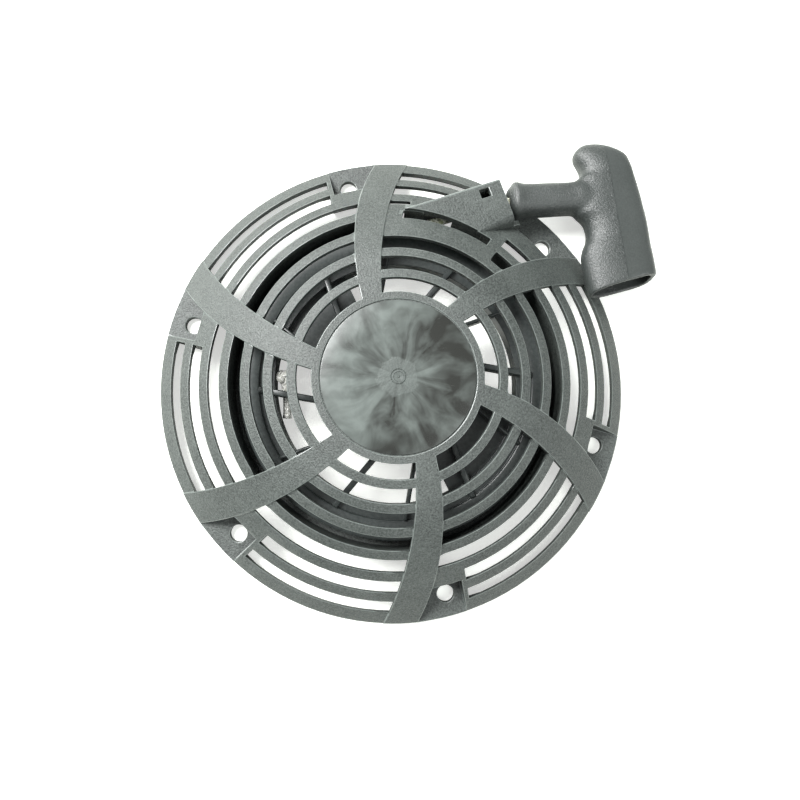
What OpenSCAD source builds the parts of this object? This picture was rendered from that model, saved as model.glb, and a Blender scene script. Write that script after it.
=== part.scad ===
// Recoil starter: moulded grille housing, spring-returned rope reel, pawls and pull handle.
// Origin: centre of the mounting face on the reel axis. +Z points out through the grille.

/* [Flange and mounting] */
// outside diameter of the flange
flange_d = 210; // [180:1:240]
// bolt circle diameter
bolt_pcd = 190; // [160:1:220]
// radius of each mounting hole
bolt_r = 3.75; // [2.5:0.05:5]
// number of mounting holes and of spokes
bolt_count = 6; // [3:1:8]
// direction of the first mounting hole, degrees from +X
bolt_angle = 43.4; // [0:0.1:60]
// thickness of each mounting tab
tab_t = 3; // [2:0.1:5]
// half width of a tab pocket beside its hole
tab_half = 7.4; // [6:0.1:10]
// inner edge of the tab pockets
tab_in = 88.5; // [86:0.1:92]

/* [Grille] */
// height of the hub face above the mounting face
hub_h = 38; // [30:0.5:50]
// radius where the dome starts to fall away
dome_r = 32; // [28:0.5:40]
// shape exponent of the dome
dome_p = 1.7; // [1:0.05:3]
// height of the dome edge
edge_h = 2.6; // [2:0.1:6]
// wall thickness of the dome
shell_t = 3.2; // [2:0.1:5]
// number of concentric slots
slot_count = 7; // [3:1:9]
// inner radius of the first slot
slot_r0 = 34.5; // [33:0.1:36]
// radial pitch of the slots
slot_pitch = 9.85; // [8:0.05:12]
// width of the innermost slot
slot_w = 6.1; // [4:0.1:8]
// radius of the smooth hub disc
disc_r = 31; // [25:0.5:33]
// height of the spokes above the dome
spoke_lift = 0.8; // [0.3:0.1:2]

/* [Rope outlet] */
// outlet eye, distance along X
eye_x = 49.5; // [40:0.5:60]
// outlet eye, distance along Y
eye_y = 83.2; // [70:0.5:95]
// height of the rope above the mounting face
rope_z = 13; // [10:0.5:16]
// direction of the outlet chute
chute_dir = 20.5; // [10:0.5:30]
// height of the chute roof
chute_top = 23; // [20:0.5:28]
// wall of the chute
chute_t = 2.2; // [1.5:0.1:3]

/* [Rope and reel] */
// rope radius
rope_r = 2; // [1.5:0.1:3]
// radius of the outermost turn
wind_r = 64.6; // [60:0.1:66]
// radial pitch of the turns
wind_pitch = 4.2; // [3.5:0.1:5]
// outside radius of the reel
reel_r = 67; // [64:0.5:69]
// radius of the groove floor
groove_r = 54; // [50:0.5:58]
// width of the rope groove
groove_w = 5; // [4.5:0.1:8]
// radius of the spring cup
cup_r = 31; // [26:0.5:33]
// slant of the reel ribs from radial
rib_slant = 27; // [0:1:40]
// direction of the first reel rib at the cup
rib_first = 17; // [0:1:29]
// direction of the rope knot inside the reel
knot_dir = 177; // [120:1:280]

/* [Pawls] */
// radius of the pawl pivots
pawl_at = 21; // [18:0.5:24]
// length of a pawl from pivot to tip
pawl_len = 17; // [12:0.5:20]
// direction of a resting pawl
pawl_rest = -8; // [-20:1:10]
// turn of the guide between its stops
guide_turn = 35; // [10:1:45]
// pawl turn for each degree of guide turn
pawl_ratio = 0.95; // [0.5:0.05:1.2]

/* [Handle] */
// direction of the handle stem
stem_dir = 4; // [-10:1:20]
// radius of the stem
stem_r = 7.4; // [5:0.1:9]
// half thickness of the grip
grip_t = 8; // [6:0.1:11]

/* [Hidden] */
flange_r = flange_d / 2;
step = 360 / bolt_count;
big = 400;
post_r = 9.5;
bush_r = 12;
run = 0.05;
groove_z0 = rope_z - groove_w / 2;
groove_z1 = rope_z + groove_w / 2;
deck = 1.6;
ring_top = groove_z1 + 3;
floor_z = 16;
floor_t = 3;
cup_top = 33.5;
knot_at = 48.8;
pawl_z0 = 6.6;
pawl_z1 = 10.4;
guide_z0 = 4.4;
guide_z1 = 6.2;
peg_r = 1.6;
peg_at = 9;
eye_d = norm([eye_x, eye_y]);
leave = atan2(eye_y, eye_x) + acos(wind_r / eye_d);
lead_len = sqrt(eye_d * eye_d - wind_r * wind_r);

function polar(r, a) = [r * cos(a), r * sin(a)];
function dome(r) = hub_h - (hub_h - edge_h)
    * pow(max(0, r - dome_r) / (flange_r - dome_r), dome_p);
function slot_in(k) = slot_r0 + slot_pitch * k;
function slot_out(k) = slot_in(k) + slot_w - 0.15 * k;
function turn(p, a) = [p[0] * cos(a) - p[1] * sin(a), p[0] * sin(a) + p[1] * cos(a)];
// centre of the circle through three points
function det3(p, q, s) = 2 * (p[0] * (q[1] - s[1]) + q[0] * (s[1] - p[1]) + s[0] * (p[1] - q[1]));
function centre3(p, q, s) = [
    (p * p * (q[1] - s[1]) + q * q * (s[1] - p[1]) + s * s * (p[1] - q[1])) / det3(p, q, s),
    (p * p * (s[0] - q[0]) + q * q * (p[0] - s[0]) + s * s * (q[0] - p[0])) / det3(p, q, s)];

// spoke edges: three points on each, measured from the first mounting hole
lead_a = polar(flange_r, bolt_angle - 16.4);
lead_b = polar(70, bolt_angle - 9.4);
lead_c = polar(38, bolt_angle - 3);
trail_a = polar(flange_r, bolt_angle - 8.1);
trail_b = polar(70, bolt_angle + 1.4);
trail_c = polar(37, bolt_angle + 10.9);
lead_o = centre3(lead_a, lead_b, lead_c);
trail_o = centre3(trail_a, trail_b, trail_c);

// profile radii of the dome, inside to outside
dome_rs = concat([dome_r], [for (k = [0:slot_count - 1]) each [slot_in(k), slot_out(k)]], [flange_r]);
shell_in = flange_r - 4.5;

module at_eye(z, dir) translate([eye_x, eye_y, z]) rotate(dir) children();
module along_x(r, len, fn = 48) rotate([0, 90, 0]) cylinder(r = r, h = len, $fn = fn);
module tube(ro, ri, z0, z1, fn = 96) {
    difference() {
        translate([0, 0, z0]) cylinder(r = ro, h = z1 - z0, $fn = fn);
        translate([0, 0, z0 - 1]) cylinder(r = ri, h = z1 - z0 + 2, $fn = fn);
    }
}

// one curved spoke seen from above, z0 to z1
module spoke_inside(z0, z1) {
    translate([trail_o[0], trail_o[1], z0])
        cylinder(r = norm(trail_a - trail_o), h = z1 - z0, $fn = 120);
}
module spoke(z0, z1) {
    difference() {
        spoke_inside(z0, z1);
        translate([lead_o[0], lead_o[1], z0 - 1])
            cylinder(r = norm(lead_a - lead_o), h = z1 - z0 + 2, $fn = 120);
    }
}
module spokes(z0, z1) {
    for (k = [0:bolt_count - 1])
        rotate(k * step) spoke(z0, z1);
}
module under_dome(lift) {
    rotate_extrude($fn = 180)
        polygon(concat([[0, 0], [0, hub_h + lift]],
            [for (r = dome_rs) [r, dome(r) + lift]], [[flange_r, 0]]));
}
module dome_shell() {
    difference() {
        under_dome(0);
        rotate_extrude($fn = 180)
            polygon(concat([[0, -1], [0, hub_h - shell_t]],
                [for (r = dome_rs) if (r < shell_in - 2) [r, dome(r) - shell_t]],
                [[shell_in, dome(shell_in) - shell_t], [shell_in, -1]]));
    }
}
// all slots as rings, before the spokes are kept
module slot_rings() {
    for (k = [0:slot_count - 1])
        tube(slot_out(k), slot_in(k), edge_h + 0.6, hub_h + 2);
}
// solid zones kept at the tabs, and the wide land beside the rope outlet
module tab_zone(inward, side) {
    rotate(bolt_angle)
        translate([tab_in - inward, -18, 0])
            cube([flange_r, 18 + tab_half + side, hub_h]);
}
module land_zone() {
    difference() {
        rotate(bolt_angle)
            rotate_extrude(angle = 54, $fn = 180)
                translate([60.2, 0]) square([9.6, hub_h]);
        rotate(bolt_angle)
            rotate_extrude(angle = 8.6, $fn = 180)
                translate([slot_in(3), -1]) square([slot_out(3) - slot_in(3), hub_h + 2]);
    }
}
module chute_box(u0, u1, v0, v1, z0, z1) {
    at_eye(0, chute_dir) translate([u0, v0, z0]) cube([u1 - u0, v1 - v0, z1 - z0]);
}
module chute_outer() {
    chute_box(-60, -2, -13.2, 7.8, 0, chute_top);
}
module sector(a0, a1, r0, r1, z0, z1) {
    rotate(a0) rotate_extrude(angle = a1 - a0, $fn = 180)
        translate([r0, z0]) square([r1 - r0, z1 - z0]);
}
module outlet_sector() {
    difference() {
        intersection() {
            sector(46, 93, slot_in(4) + 0.3, 115, 0, hub_h);
            chute_outer();
        }
        // rounded shoulder along the side nearest the tab
        difference() {
            chute_box(-62, 5, -13.3, -8.2, chute_top - 5, chute_top + 1);
            at_eye(chute_top - 5, chute_dir) translate([-63, -8.2, 0]) along_x(5, 70);
        }
    }
}
module slots() {
    difference() {
        slot_rings();
        spokes(-1, hub_h + 4);
        for (k = [0:bolt_count - 1])
            rotate(k * step) tab_zone(7, 2);
        land_zone();
        // solid ground round the outlet
        sector(38, 60, slot_out(4) + 0.2, flange_r, 0, hub_h);
        sector(52.6, 87, slot_in(4) - 1, slot_out(4) + 1, 0, hub_h);
        sector(86, 97, slot_in(4) - 1, 77.6, 0, hub_h);
    }
    // slit between the wide land and the chute roof
    sector(56.5, 91.5, slot_out(3) + 0.2, slot_in(4), 10, hub_h);
}
module tab_blocks() {
    intersection() {
        under_dome(0);
        for (k = [0:bolt_count - 1])
            rotate(k * step)
                intersection() {
                    tab_zone(2, 2);
                    rotate(bolt_angle - 16) rotate_extrude(angle = 24, $fn = 180)
                        translate([tab_in - 2, 0]) square([flange_r - tab_in + 2, hub_h]);
                }
    }
}
module tab_pockets() {
    for (k = [0:bolt_count - 1])
        rotate(k * step)
            difference() {
                translate([0, 0, tab_t]) tab_zone(0, 0);
                spoke_inside(-1, hub_h + 4);
            }
}
module bolt_holes() {
    for (k = [0:bolt_count - 1])
        rotate(bolt_angle + k * step) translate([bolt_pcd / 2, 0, -1])
            cylinder(r = bolt_r, h = 20, $fn = 48);
}
module spoke_bands() {
    intersection() {
        difference() {
            under_dome(spoke_lift);
            under_dome(-shell_t / 2);
            translate([0, 0, -1]) cylinder(r = 50, h = hub_h + 4, $fn = 96);
        }
        spokes(0, hub_h + 4);
    }
}
// guard wall round the reel, open where the rope leaves
module guard_wall() {
    intersection() {
        under_dome(-1);
        union() {
            rotate(115) rotate_extrude(angle = 298, $fn = 180)
                translate([70.4, 6]) square([2.6, hub_h]);
            // ledge under the edge of the reel
            rotate(84) rotate_extrude(angle = 344, $fn = 180) translate([64, 6]) square([8.6, 2]);
        }
    }
}
module spring_post() {
    translate([0, 0, 6.5]) cylinder(r = post_r, h = hub_h - 9, $fn = 96);
    translate([0, 0, 3.6]) cylinder(r = 6.5, h = 4, $fn = 96);
}
module housing_body() {
    difference() {
        union() {
            dome_shell();
            tab_blocks();
            spoke_bands();
            guard_wall();
            outlet_floor();
        }
        slots();
        tab_pockets();
        outlet_clear();
        // shallow line round the hub disc
        tube(disc_r + 0.4, disc_r, hub_h - 0.5, hub_h + 1);
    }
}
module chute() {
    difference() {
        outlet_sector();
        chute_box(-70, -2 - chute_t, -13.2 + chute_t, 7.8 - chute_t, -1, chute_top - 2.4);
        // small square window in the roof
        at_eye(0, chute_dir) translate([-12.8, 1.4, chute_top - 5]) cube([4.6, 4, 8]);
        at_eye(rope_z, chute_dir) translate([-8, 0, 0]) along_x(4.6, 12);
    }
}
module outlet_floor() {
    sector(bolt_angle - 4, 66.5, tab_in - 3, shell_in + 1, 0, tab_t + 0.1);
}
// open ground in front of the mouth, level with the tabs
module outlet_clear() {
    difference() {
        intersection() {
            sector(bolt_angle - 2, 68, tab_in, flange_r + 5, tab_t, hub_h);
            chute_box(-2.2, 60, -60, 40, 0, hub_h);
        }
        spoke_inside(-1, hub_h + 4);
    }
}
module lip() {
    at_eye(1, chute_dir) translate([-3, -12.9, 0]) cube([5.4, chute_t, chute_top - 7]);
}

module housing() {
    color([0.2, 0.215, 0.21]) {
        difference() {
            union() {
                difference() {
                    housing_body();
                    // clear the dome inside the chute and in front of its mouth
                    intersection() {
                        chute_box(-70, -2, -13.2 + chute_t, 7.8 - chute_t, -1, hub_h);
                        sector(49, 90, slot_in(4) - 1, flange_r + 5, tab_t - 1, hub_h + 4);
                    }
                }
                chute();
                lip();
                spring_post();
            }
            bolt_holes();
            translate([0, 0, 3]) cylinder(r = 3.2, h = 6, $fn = 48);
            translate([0, 0, 8]) cylinder(r = 4.5, h = 16, $fn = 48);
            // slot in the post for the inner end of the spring
            translate([-0.6, 4.6, 19.4]) cube([1.2, 8, 13.6]);
        }
    }
}

module threaded_insert() {
    color([0.72, 0.58, 0.32]) tube(4.5, 2.95, 8, 22, 48);
}

module rope_eyelet() {
    color([0.75, 0.76, 0.77])
        at_eye(rope_z, chute_dir) rotate([0, 90, 0]) rotate_extrude($fn = 64)
            polygon([[3.3, -4.8], [3.8, -6.2], [5.3, -6.2], [5.3, -4.8], [4.55, -4.3],
                [4.55, -1.95], [6, -1.85], [6, -0.6], [5, -0.3], [3.9, -0.4], [3.3, -1.4]]);
}

module centre_screw() {
    color([0.62, 0.63, 0.65]) {
        translate([0, 0, 2.5]) cylinder(r = 2.95, h = 17, $fn = 48);
        difference() {
            translate([0, 0, 0.4]) cylinder(r = 5.2, h = 2.2, $fn = 6);
            translate([0, 0, -0.2]) cylinder(r = 2.6, h = 1, $fn = 48);
        }
    }
}

module screw_washer() {
    color([0.7, 0.71, 0.72]) tube(9.8, 3.1, 2.6, 3.5);
}

// flat spiral strip, drawn as half turns about two centres
module half_ring(r, w, z0, z1) {
    rotate_extrude(angle = 180, $fn = 96) translate([r - w / 2, z0]) square([w, z1 - z0]);
}
module recoil_spring() {
    pitch = 2.1;
    color([0.35, 0.37, 0.4]) {
        for (i = [0:15])
            translate([i % 2 == 0 ? 0 : -pitch / 2, 0, 0])
                rotate(i % 2 == 0 ? 0 : 180)
                    half_ring(11.6 + i * pitch / 2, 0.7, 20, 32);
        // inner end bent into the slot of the post
        translate([11.2, -1.6, 20]) cube([0.8, 1.8, 12]);
    }
}

module rope_lead() {
    color([0.86, 0.85, 0.78]) {
        translate([polar(wind_r, leave)[0], polar(wind_r, leave)[1], rope_z])
            rotate(leave - 90) translate([0.3, 0, 0]) along_x(rope_r, lead_len - 0.3, 32);
        at_eye(rope_z, 0) sphere(r = rope_r, $fn = 32);
    }
}

module reel_ribs() {
    for (k = [0:11])
        rotate(k * 30 + rib_first)
            translate([cup_r - 1.4, 0, floor_z - 3])
                rotate(-rib_slant)
                    translate([0, -(k % 2 == 0 ? 1.3 : 0.8), 0])
                        cube([30, k % 2 == 0 ? 2.6 : 1.6, 6.6]);
}
module rope_pulley() {
    color([0.16, 0.17, 0.17]) {
        difference() {
            union() {
                // groove, decks and raised outer ring
                tube(reel_r, groove_r - 2, groove_z0 - deck, groove_z1 + deck, 180);
                tube(reel_r, 58.5, groove_z1, ring_top, 180);
                intersection() {
                    reel_ribs();
                    tube(59, cup_r - 1.5, 0, hub_h, 120);
                }
                tube(cup_r, cup_r - 2, floor_z - 4, cup_top, 120);
                tube(cup_r - 1, bush_r, floor_z, floor_z + floor_t, 120);
                tube(bush_r + 2.6, bush_r, 7.2, floor_z + 1);
                // two closed stretches of web
                for (a = [116, 296])
                    rotate(a) rotate_extrude(angle = 50, $fn = 120)
                        translate([cup_r - 1, 11.4]) square([groove_r - cup_r, 1.8]);
                for (a = [90, 270])
                    rotate(a) translate([pawl_at, 0, pawl_z1 + 0.3])
                        cylinder(r = 3.4, h = floor_z - pawl_z1 + 1, $fn = 48);
            }
            tube(reel_r + 2, groove_r, groove_z0, groove_z1, 180);
            for (a = [90, 270])
                rotate(a) translate([pawl_at, 0, 0]) cylinder(r = 2, h = floor_z + 1.5, $fn = 48);
            // rope hole through the groove floor
            rotate(knot_dir) translate([46, 0, rope_z]) along_x(2.5, 12, 32);
        }
    }
}

module pulley_bush() {
    color([0.8, 0.78, 0.7]) tube(bush_r, post_r + run, 7.4, floor_z + floor_t);
}

module wind_arc(r, a) {
    rotate_extrude(angle = a, $fn = 120) translate([r, 0]) circle(r = rope_r, $fn = 32);
}
module rope_winding() {
    color([0.86, 0.85, 0.78])
        translate([0, 0, rope_z]) rotate(leave)
            for (i = [0:4])
                translate([i % 2 == 0 ? 0 : -wind_pitch / 2, 0, 0])
                    rotate(i % 2 == 0 ? 0 : 180)
                        wind_arc(wind_r - i * wind_pitch / 2, i < 4 ? 180 : knot_dir - leave);
}

module pulley_knot() {
    color([0.9, 0.89, 0.82])
        rotate(knot_dir) translate([knot_at, 0, rope_z]) {
            sphere(r = 3.8, $fn = 32);
            along_x(rope_r, 4.9, 32);
            // free end past the knot, under the nearest rib
            rotate(95.7) rotate([0, 14.6, 0]) along_x(1.8, 18.2, 32);
        }
}

module pawl_pin(a) {
    rotate(a) {
        translate([pawl_at, 0, pawl_z0]) cylinder(r = 2, h = floor_z - pawl_z0 + 1.3, $fn = 48);
        translate([pawl_at, 0, pawl_z0]) cylinder(r = 2.9, h = 0.8, $fn = 48);
    }
}
module pawl_pin_a() { color([0.66, 0.67, 0.69]) pawl_pin(90); }
module pawl_pin_b() { color([0.66, 0.67, 0.69]) pawl_pin(270); }

module pawl_spring(a) {
    rotate(a) translate([pawl_at, 0, 0]) {
        for (i = [0:2])
            translate([0, 0, 12.2 + i * 0.8]) rotate_extrude($fn = 48)
                translate([4, 0]) circle(r = 0.45, $fn = 16);
        translate([-4, 0, 13.8]) rotate([0, 0, 35]) rotate([-90, 0, 0]) cylinder(r = 0.4, h = 4, $fn = 16);
        translate([4, 0, 12.2]) rotate([90, 0, 0]) cylinder(r = 0.4, h = 6, $fn = 16);
    }
}
module pawl_spring_a() { color([0.6, 0.61, 0.63]) pawl_spring(90); }
module pawl_spring_b() { color([0.6, 0.61, 0.63]) pawl_spring(270); }

// the pawl lies along its resting direction, seen from the pivot
module pawl(a) {
    dir = pawl_rest - 90;
    rotate(a) translate([pawl_at, 0, 0]) {
        difference() {
            union() {
                translate([0, 0, pawl_z0]) cylinder(r = 4.4, h = pawl_z1 - pawl_z0, $fn = 48);
                translate([0, 0, pawl_z0]) rotate(dir) translate([0, -3.1, 0])
                    linear_extrude(pawl_z1 - pawl_z0)
                        polygon([[0, -0.6], [pawl_len, 0.8], [pawl_len, 4.2], [11, 6], [0, 7]]);
                rotate(dir) translate([peg_at, 0, guide_z0 + 0.2])
                    cylinder(r = peg_r, h = pawl_z0 - guide_z0 + 0.3, $fn = 32);
            }
            translate([0, 0, pawl_z0 - 1]) cylinder(r = 2 + run, h = 10, $fn = 48);
            translate([0, 0, pawl_z0 - 1]) cylinder(r = 3.2, h = 2.1, $fn = 48);
        }
    }
}
module pawl_a() { color([0.5, 0.51, 0.53]) pawl(90); }
module pawl_b() { color([0.5, 0.51, 0.53]) pawl(270); }

// place of the pawl peg in the guide's own frame after a fraction t of its turn
function peg(t) = turn([0, pawl_at] + polar(peg_at, pawl_rest + t * guide_turn * pawl_ratio),
    -t * guide_turn);
slot_o = centre3(peg(0), peg(0.5), peg(1));
slot_arc = norm(peg(0) - slot_o);
slot_a0 = atan2(peg(0)[1] - slot_o[1], peg(0)[0] - slot_o[0]);
slot_a1 = atan2(peg(1)[1] - slot_o[1], peg(1)[0] - slot_o[0]);
slot_half = peg_r + 0.35;
module guide_slot() {
    translate([slot_o[0], slot_o[1], guide_z0 - 1])
        rotate(slot_a1) rotate_extrude(angle = slot_a0 - slot_a1, $fn = 120)
            translate([slot_arc - slot_half, 0]) square([2 * slot_half, 5]);
    for (t = [0, 1])
        translate([peg(t)[0], peg(t)[1], guide_z0 - 1]) cylinder(r = slot_half + 0.04, h = 5, $fn = 48);
}
module pawl_guide() {
    color([0.24, 0.25, 0.26])
        difference() {
            union() {
                tube(30, 6.5 + run, guide_z0, guide_z1, 120);
                tube(30, 28.4, guide_z0 - 1.2, guide_z1, 120);
            }
            for (a = [0, 180])
                rotate(a) guide_slot();
            for (a = [0, 180])
                rotate(a) translate([-14, 12, guide_z0 - 1]) cylinder(r = 4, h = 5, $fn = 48);
        }
}

module friction_spring() {
    color([0.55, 0.56, 0.6]) tube(9, 6.9, 3.6, 4.3);
}

// handle, drawn along its stem: x runs outwards, y runs along the grip
module grip_slab(s0, s1, v, half) {
    translate([(s0 + s1) / 2, v, 0]) rotate([90, 0, 0])
        scale([(s1 - s0) / 2, half, 1]) cylinder(r = 1, h = 0.6, center = true, $fn = 32);
}
module palm_slab(s0, s1, v, half) {
    translate([s1 - 9, v, 0]) cube([9, 0.6, 2 * half], center = true);
    grip_slab(s0, s1 - 5, v, half);
    translate([s1 - 3, v, 0]) cube([6, 0.6, half * 1.2], center = true);
}
module grip_body() {
    hull() {
        palm_slab(35.2, 65.6, -47, grip_t);
        palm_slab(32.8, 64.4, -29, grip_t);
    }
    hull() {
        palm_slab(32.8, 64.4, -29, grip_t);
        palm_slab(36.2, 63.3, -16, grip_t);
    }
    hull() {
        palm_slab(36.2, 63.3, -16, grip_t);
        palm_slab(36.4, 59.9, 9, grip_t);
    }
    hull() {
        palm_slab(36.4, 59.9, 9, grip_t);
        palm_slab(33.6, 57, 18.4, grip_t);
        translate([41, 20, 0]) scale([8, 5.2, 6.8]) sphere(r = 1, $fn = 32);
    }
}
module handle_grip() {
    color([0.19, 0.2, 0.2])
        at_eye(rope_z, stem_dir)
            difference() {
                union() {
                    grip_body();
                    rotate([0, 90, 0]) rotate_extrude($fn = 64)
                        polygon([[0, 1.3], [5.2, 1.3], [8.4, 3.8], [8.4, 5.4], [7.8, 7.4],
                            [stem_r, 12], [stem_r, 30], [stem_r + 0.5, 40], [0, 40]]);
                }
                translate([-1, 0, 0]) along_x(2.6, 46, 32);
                // slanted open end and the hollow behind it
                translate([36, -45.5, 0]) rotate(12) translate([-20, -20, -20]) cube([70, 20, 40]);
                hull() {
                    translate([39.5, -50, -5.2]) cube([21, 1, 10.4]);
                    translate([42, 2, -5]) cube([13, 4, 10]);
                }
            }
}

module handle_washer() {
    color([0.7, 0.71, 0.72])
        at_eye(rope_z, stem_dir) translate([42.2, 0, 0]) rotate([0, 90, 0]) tube(4.6, 2.3, 0, 1.2, 48);
}

module rope_tail() {
    color([0.86, 0.85, 0.78]) at_eye(rope_z, stem_dir) translate([2.2, 0, 0]) along_x(rope_r, 41.3, 32);
}

module handle_knot() {
    color([0.9, 0.89, 0.82])
        at_eye(rope_z, stem_dir) translate([47.5, 0, 0]) sphere(r = 4, $fn = 32);
}

housing();
threaded_insert();
rope_eyelet();
centre_screw();
screw_washer();
recoil_spring();
rope_lead();
rope_pulley();
pulley_bush();
rope_winding();
pulley_knot();
pawl_pin_a();
pawl_pin_b();
pawl_spring_a();
pawl_spring_b();
pawl_a();
pawl_b();
pawl_guide();
friction_spring();
handle_grip();
handle_washer();
rope_tail();
handle_knot();
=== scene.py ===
from math import acos, asin, atan2, cos, degrees, pi, radians, sin, sqrt

import bmesh
import bpy
from mathutils import Matrix, Vector


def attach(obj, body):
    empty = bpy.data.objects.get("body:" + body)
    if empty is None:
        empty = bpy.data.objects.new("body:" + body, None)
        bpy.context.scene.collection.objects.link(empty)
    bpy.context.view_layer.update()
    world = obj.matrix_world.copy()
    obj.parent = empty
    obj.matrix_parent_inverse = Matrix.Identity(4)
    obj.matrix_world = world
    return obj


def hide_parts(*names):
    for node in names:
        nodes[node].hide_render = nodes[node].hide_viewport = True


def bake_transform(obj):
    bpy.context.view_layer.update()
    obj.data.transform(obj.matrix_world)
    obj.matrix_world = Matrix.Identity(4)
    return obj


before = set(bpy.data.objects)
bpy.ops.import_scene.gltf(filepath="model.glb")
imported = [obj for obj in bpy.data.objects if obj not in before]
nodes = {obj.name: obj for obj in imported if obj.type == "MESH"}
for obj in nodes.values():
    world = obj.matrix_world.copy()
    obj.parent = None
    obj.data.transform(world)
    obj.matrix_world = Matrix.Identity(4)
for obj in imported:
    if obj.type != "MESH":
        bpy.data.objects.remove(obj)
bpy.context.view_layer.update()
scene = bpy.context.scene
scene.view_settings.view_transform = "Standard"
print("frame loaded with", len(nodes), "nodes")

# camera first: nearly straight above the hub
cameraPlace = {
    "spot": (-0.0090, -0.0286, 0.2666),
    "right": (0.9986, -0.0023, 0.0531),
    "up": (-0.0025, 0.9960, 0.0895),
    "back": (-0.0531, -0.0895, 0.9946),
    "lens": 26.21,
    "shiftX": -0.0085,
    "shiftY": -0.0041,
}


def addCamera(place):
    data = bpy.data.cameras.new("benchCamera")
    data.sensor_width = 36
    data.lens = place["lens"]
    data.shift_x = place["shiftX"]
    data.shift_y = place["shiftY"]
    data.clip_start = 0.005
    camera = bpy.data.objects.new("benchCamera", data)
    scene.collection.objects.link(camera)
    axes = [Vector(place[name]) for name in ("right", "up", "back")]
    turned = Matrix((axes[0], axes[1], axes[2])).transposed().to_4x4()
    camera.matrix_world = Matrix.Translation(place["spot"]) @ turned
    scene.camera = camera


addCamera(cameraPlace)


# lengths are in mm until storeMesh scales them
def polar(r, angle, z=0.0):
    return Vector((r * cos(radians(angle)), r * sin(radians(angle)), z))


def storeMesh(bm, name, merge=0.005, recalc=True):
    if merge:
        bmesh.ops.remove_doubles(bm, verts=bm.verts, dist=merge)
    if recalc:
        bmesh.ops.recalc_face_normals(bm, faces=bm.faces)
    bmesh.ops.scale(bm, vec=(0.001, 0.001, 0.001), verts=bm.verts)
    mesh = bpy.data.meshes.new(name)
    bm.to_mesh(mesh)
    bm.free()
    piece = bpy.data.objects.new(name, mesh)
    scene.collection.objects.link(piece)
    return piece


def softenEdges(piece, width, segments=2, angle=38, clamp=True):
    piece.data.polygons.foreach_set("use_smooth", [True] * len(piece.data.polygons))
    bevel = piece.modifiers.new("softEdge", "BEVEL")
    bevel.width = width / 1000
    bevel.segments = segments
    bevel.limit_method = "ANGLE"
    bevel.angle_limit = radians(angle)
    bevel.harden_normals = True
    bevel.use_clamp_overlap = clamp


def finishPiece(piece, body, finish, slot, *replaced):
    piece.data.materials.clear()
    piece.data.materials.append(finish)
    if replaced:
        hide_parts(*replaced)
    if body:
        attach(piece, body)
    return piece


def face(bm, points):
    corners = []
    for p in points:
        if not corners or (Vector(p) - corners[-1]).length > 0.004:
            corners.append(Vector(p))
    if (corners[0] - corners[-1]).length < 0.004:
        corners.pop()
    if len(corners) > 2:
        bm.faces.new([bm.verts.new(c) for c in corners])


def turnProfile(bm, profile, segments=96, start=0.0, sweep=360.0):
    # profile is a closed loop of (r, z)
    full = sweep >= 360
    angles = [start + sweep * i / segments for i in range(segments + 1)]
    count = len(profile)
    for a0, a1 in zip(angles, angles[1:]):
        for i in range(count):
            (r0, z0), (r1, z1) = profile[i], profile[(i + 1) % count]
            if r0 < 1e-6 and r1 < 1e-6:
                continue
            face(bm, [polar(r0, a0, z0), polar(r0, a1, z0), polar(r1, a1, z1), polar(r1, a0, z1)])
    if not full:
        for a in (angles[0], angles[-1]):
            face(bm, [polar(r, a, z) for r, z in profile])


def prism(bm, outline, z0, z1):
    low = [Vector((x, y, z0)) for x, y in outline]
    high = [Vector((x, y, z1)) for x, y in outline]
    face(bm, low)
    face(bm, high)
    for i in range(len(outline)):
        j = (i + 1) % len(outline)
        face(bm, [low[i], low[j], high[j], high[i]])


def tubeAlong(name, points, radius, around=14, closed=False):
    # round strand with its own UV: length in mm along u, one turn across v
    bm = bmesh.new()
    layer = bm.loops.layers.uv.new("strand")
    path = [Vector(p) for p in points]
    count = len(path)
    tangents = []
    for i in range(count):
        before = path[(i - 1) % count] if closed or i else path[i]
        after = path[(i + 1) % count] if closed or i < count - 1 else path[i]
        tangents.append((after - before).normalized())
    side = tangents[0].orthogonal().normalized()
    rings, travel, run = [], [0.0], 0.0
    for i in range(count):
        side = (side - tangents[i] * side.dot(tangents[i])).normalized()
        other = tangents[i].cross(side)
        size = radius(i / (count - 1)) if callable(radius) else radius
        rings.append([bm.verts.new(path[i] + (side * cos(2 * pi * k / around)
                      + other * sin(2 * pi * k / around)) * size) for k in range(around)])
        if i:
            run += (path[i] - path[i - 1]).length
            travel.append(run)
    spans = range(count if closed else count - 1)
    for i in spans:
        j = (i + 1) % count
        endRun = travel[j] if j else run + (path[0] - path[-1]).length
        for k in range(around):
            m = (k + 1) % around
            quad = bm.faces.new([rings[i][k], rings[j][k], rings[j][m], rings[i][m]])
            quad.smooth = True
            for loop, u, v in zip(quad.loops, (travel[i], endRun, endRun, travel[i]),
                                  (k, k, k + 1, k + 1)):
                loop[layer].uv = (u, v / around)
    if not closed:
        bm.faces.new(list(reversed(rings[0])))
        bm.faces.new(rings[-1])
    bmesh.ops.recalc_face_normals(bm, faces=bm.faces)
    return storeMesh(bm, name, merge=0, recalc=False)


def joinPieces(target, *others):
    for other in others:
        bm = bmesh.new()
        bm.from_mesh(target.data)
        bm.from_mesh(other.data)
        bm.to_mesh(target.data)
        bm.free()
        bpy.data.objects.remove(other)
    return target


def cutWith(piece, cutter):
    cut = piece.modifiers.new("cut", "BOOLEAN")
    cut.operation = "DIFFERENCE"
    cut.solver = "EXACT"
    cut.object = cutter
    settle(piece)
    bpy.data.objects.remove(cutter)


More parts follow.
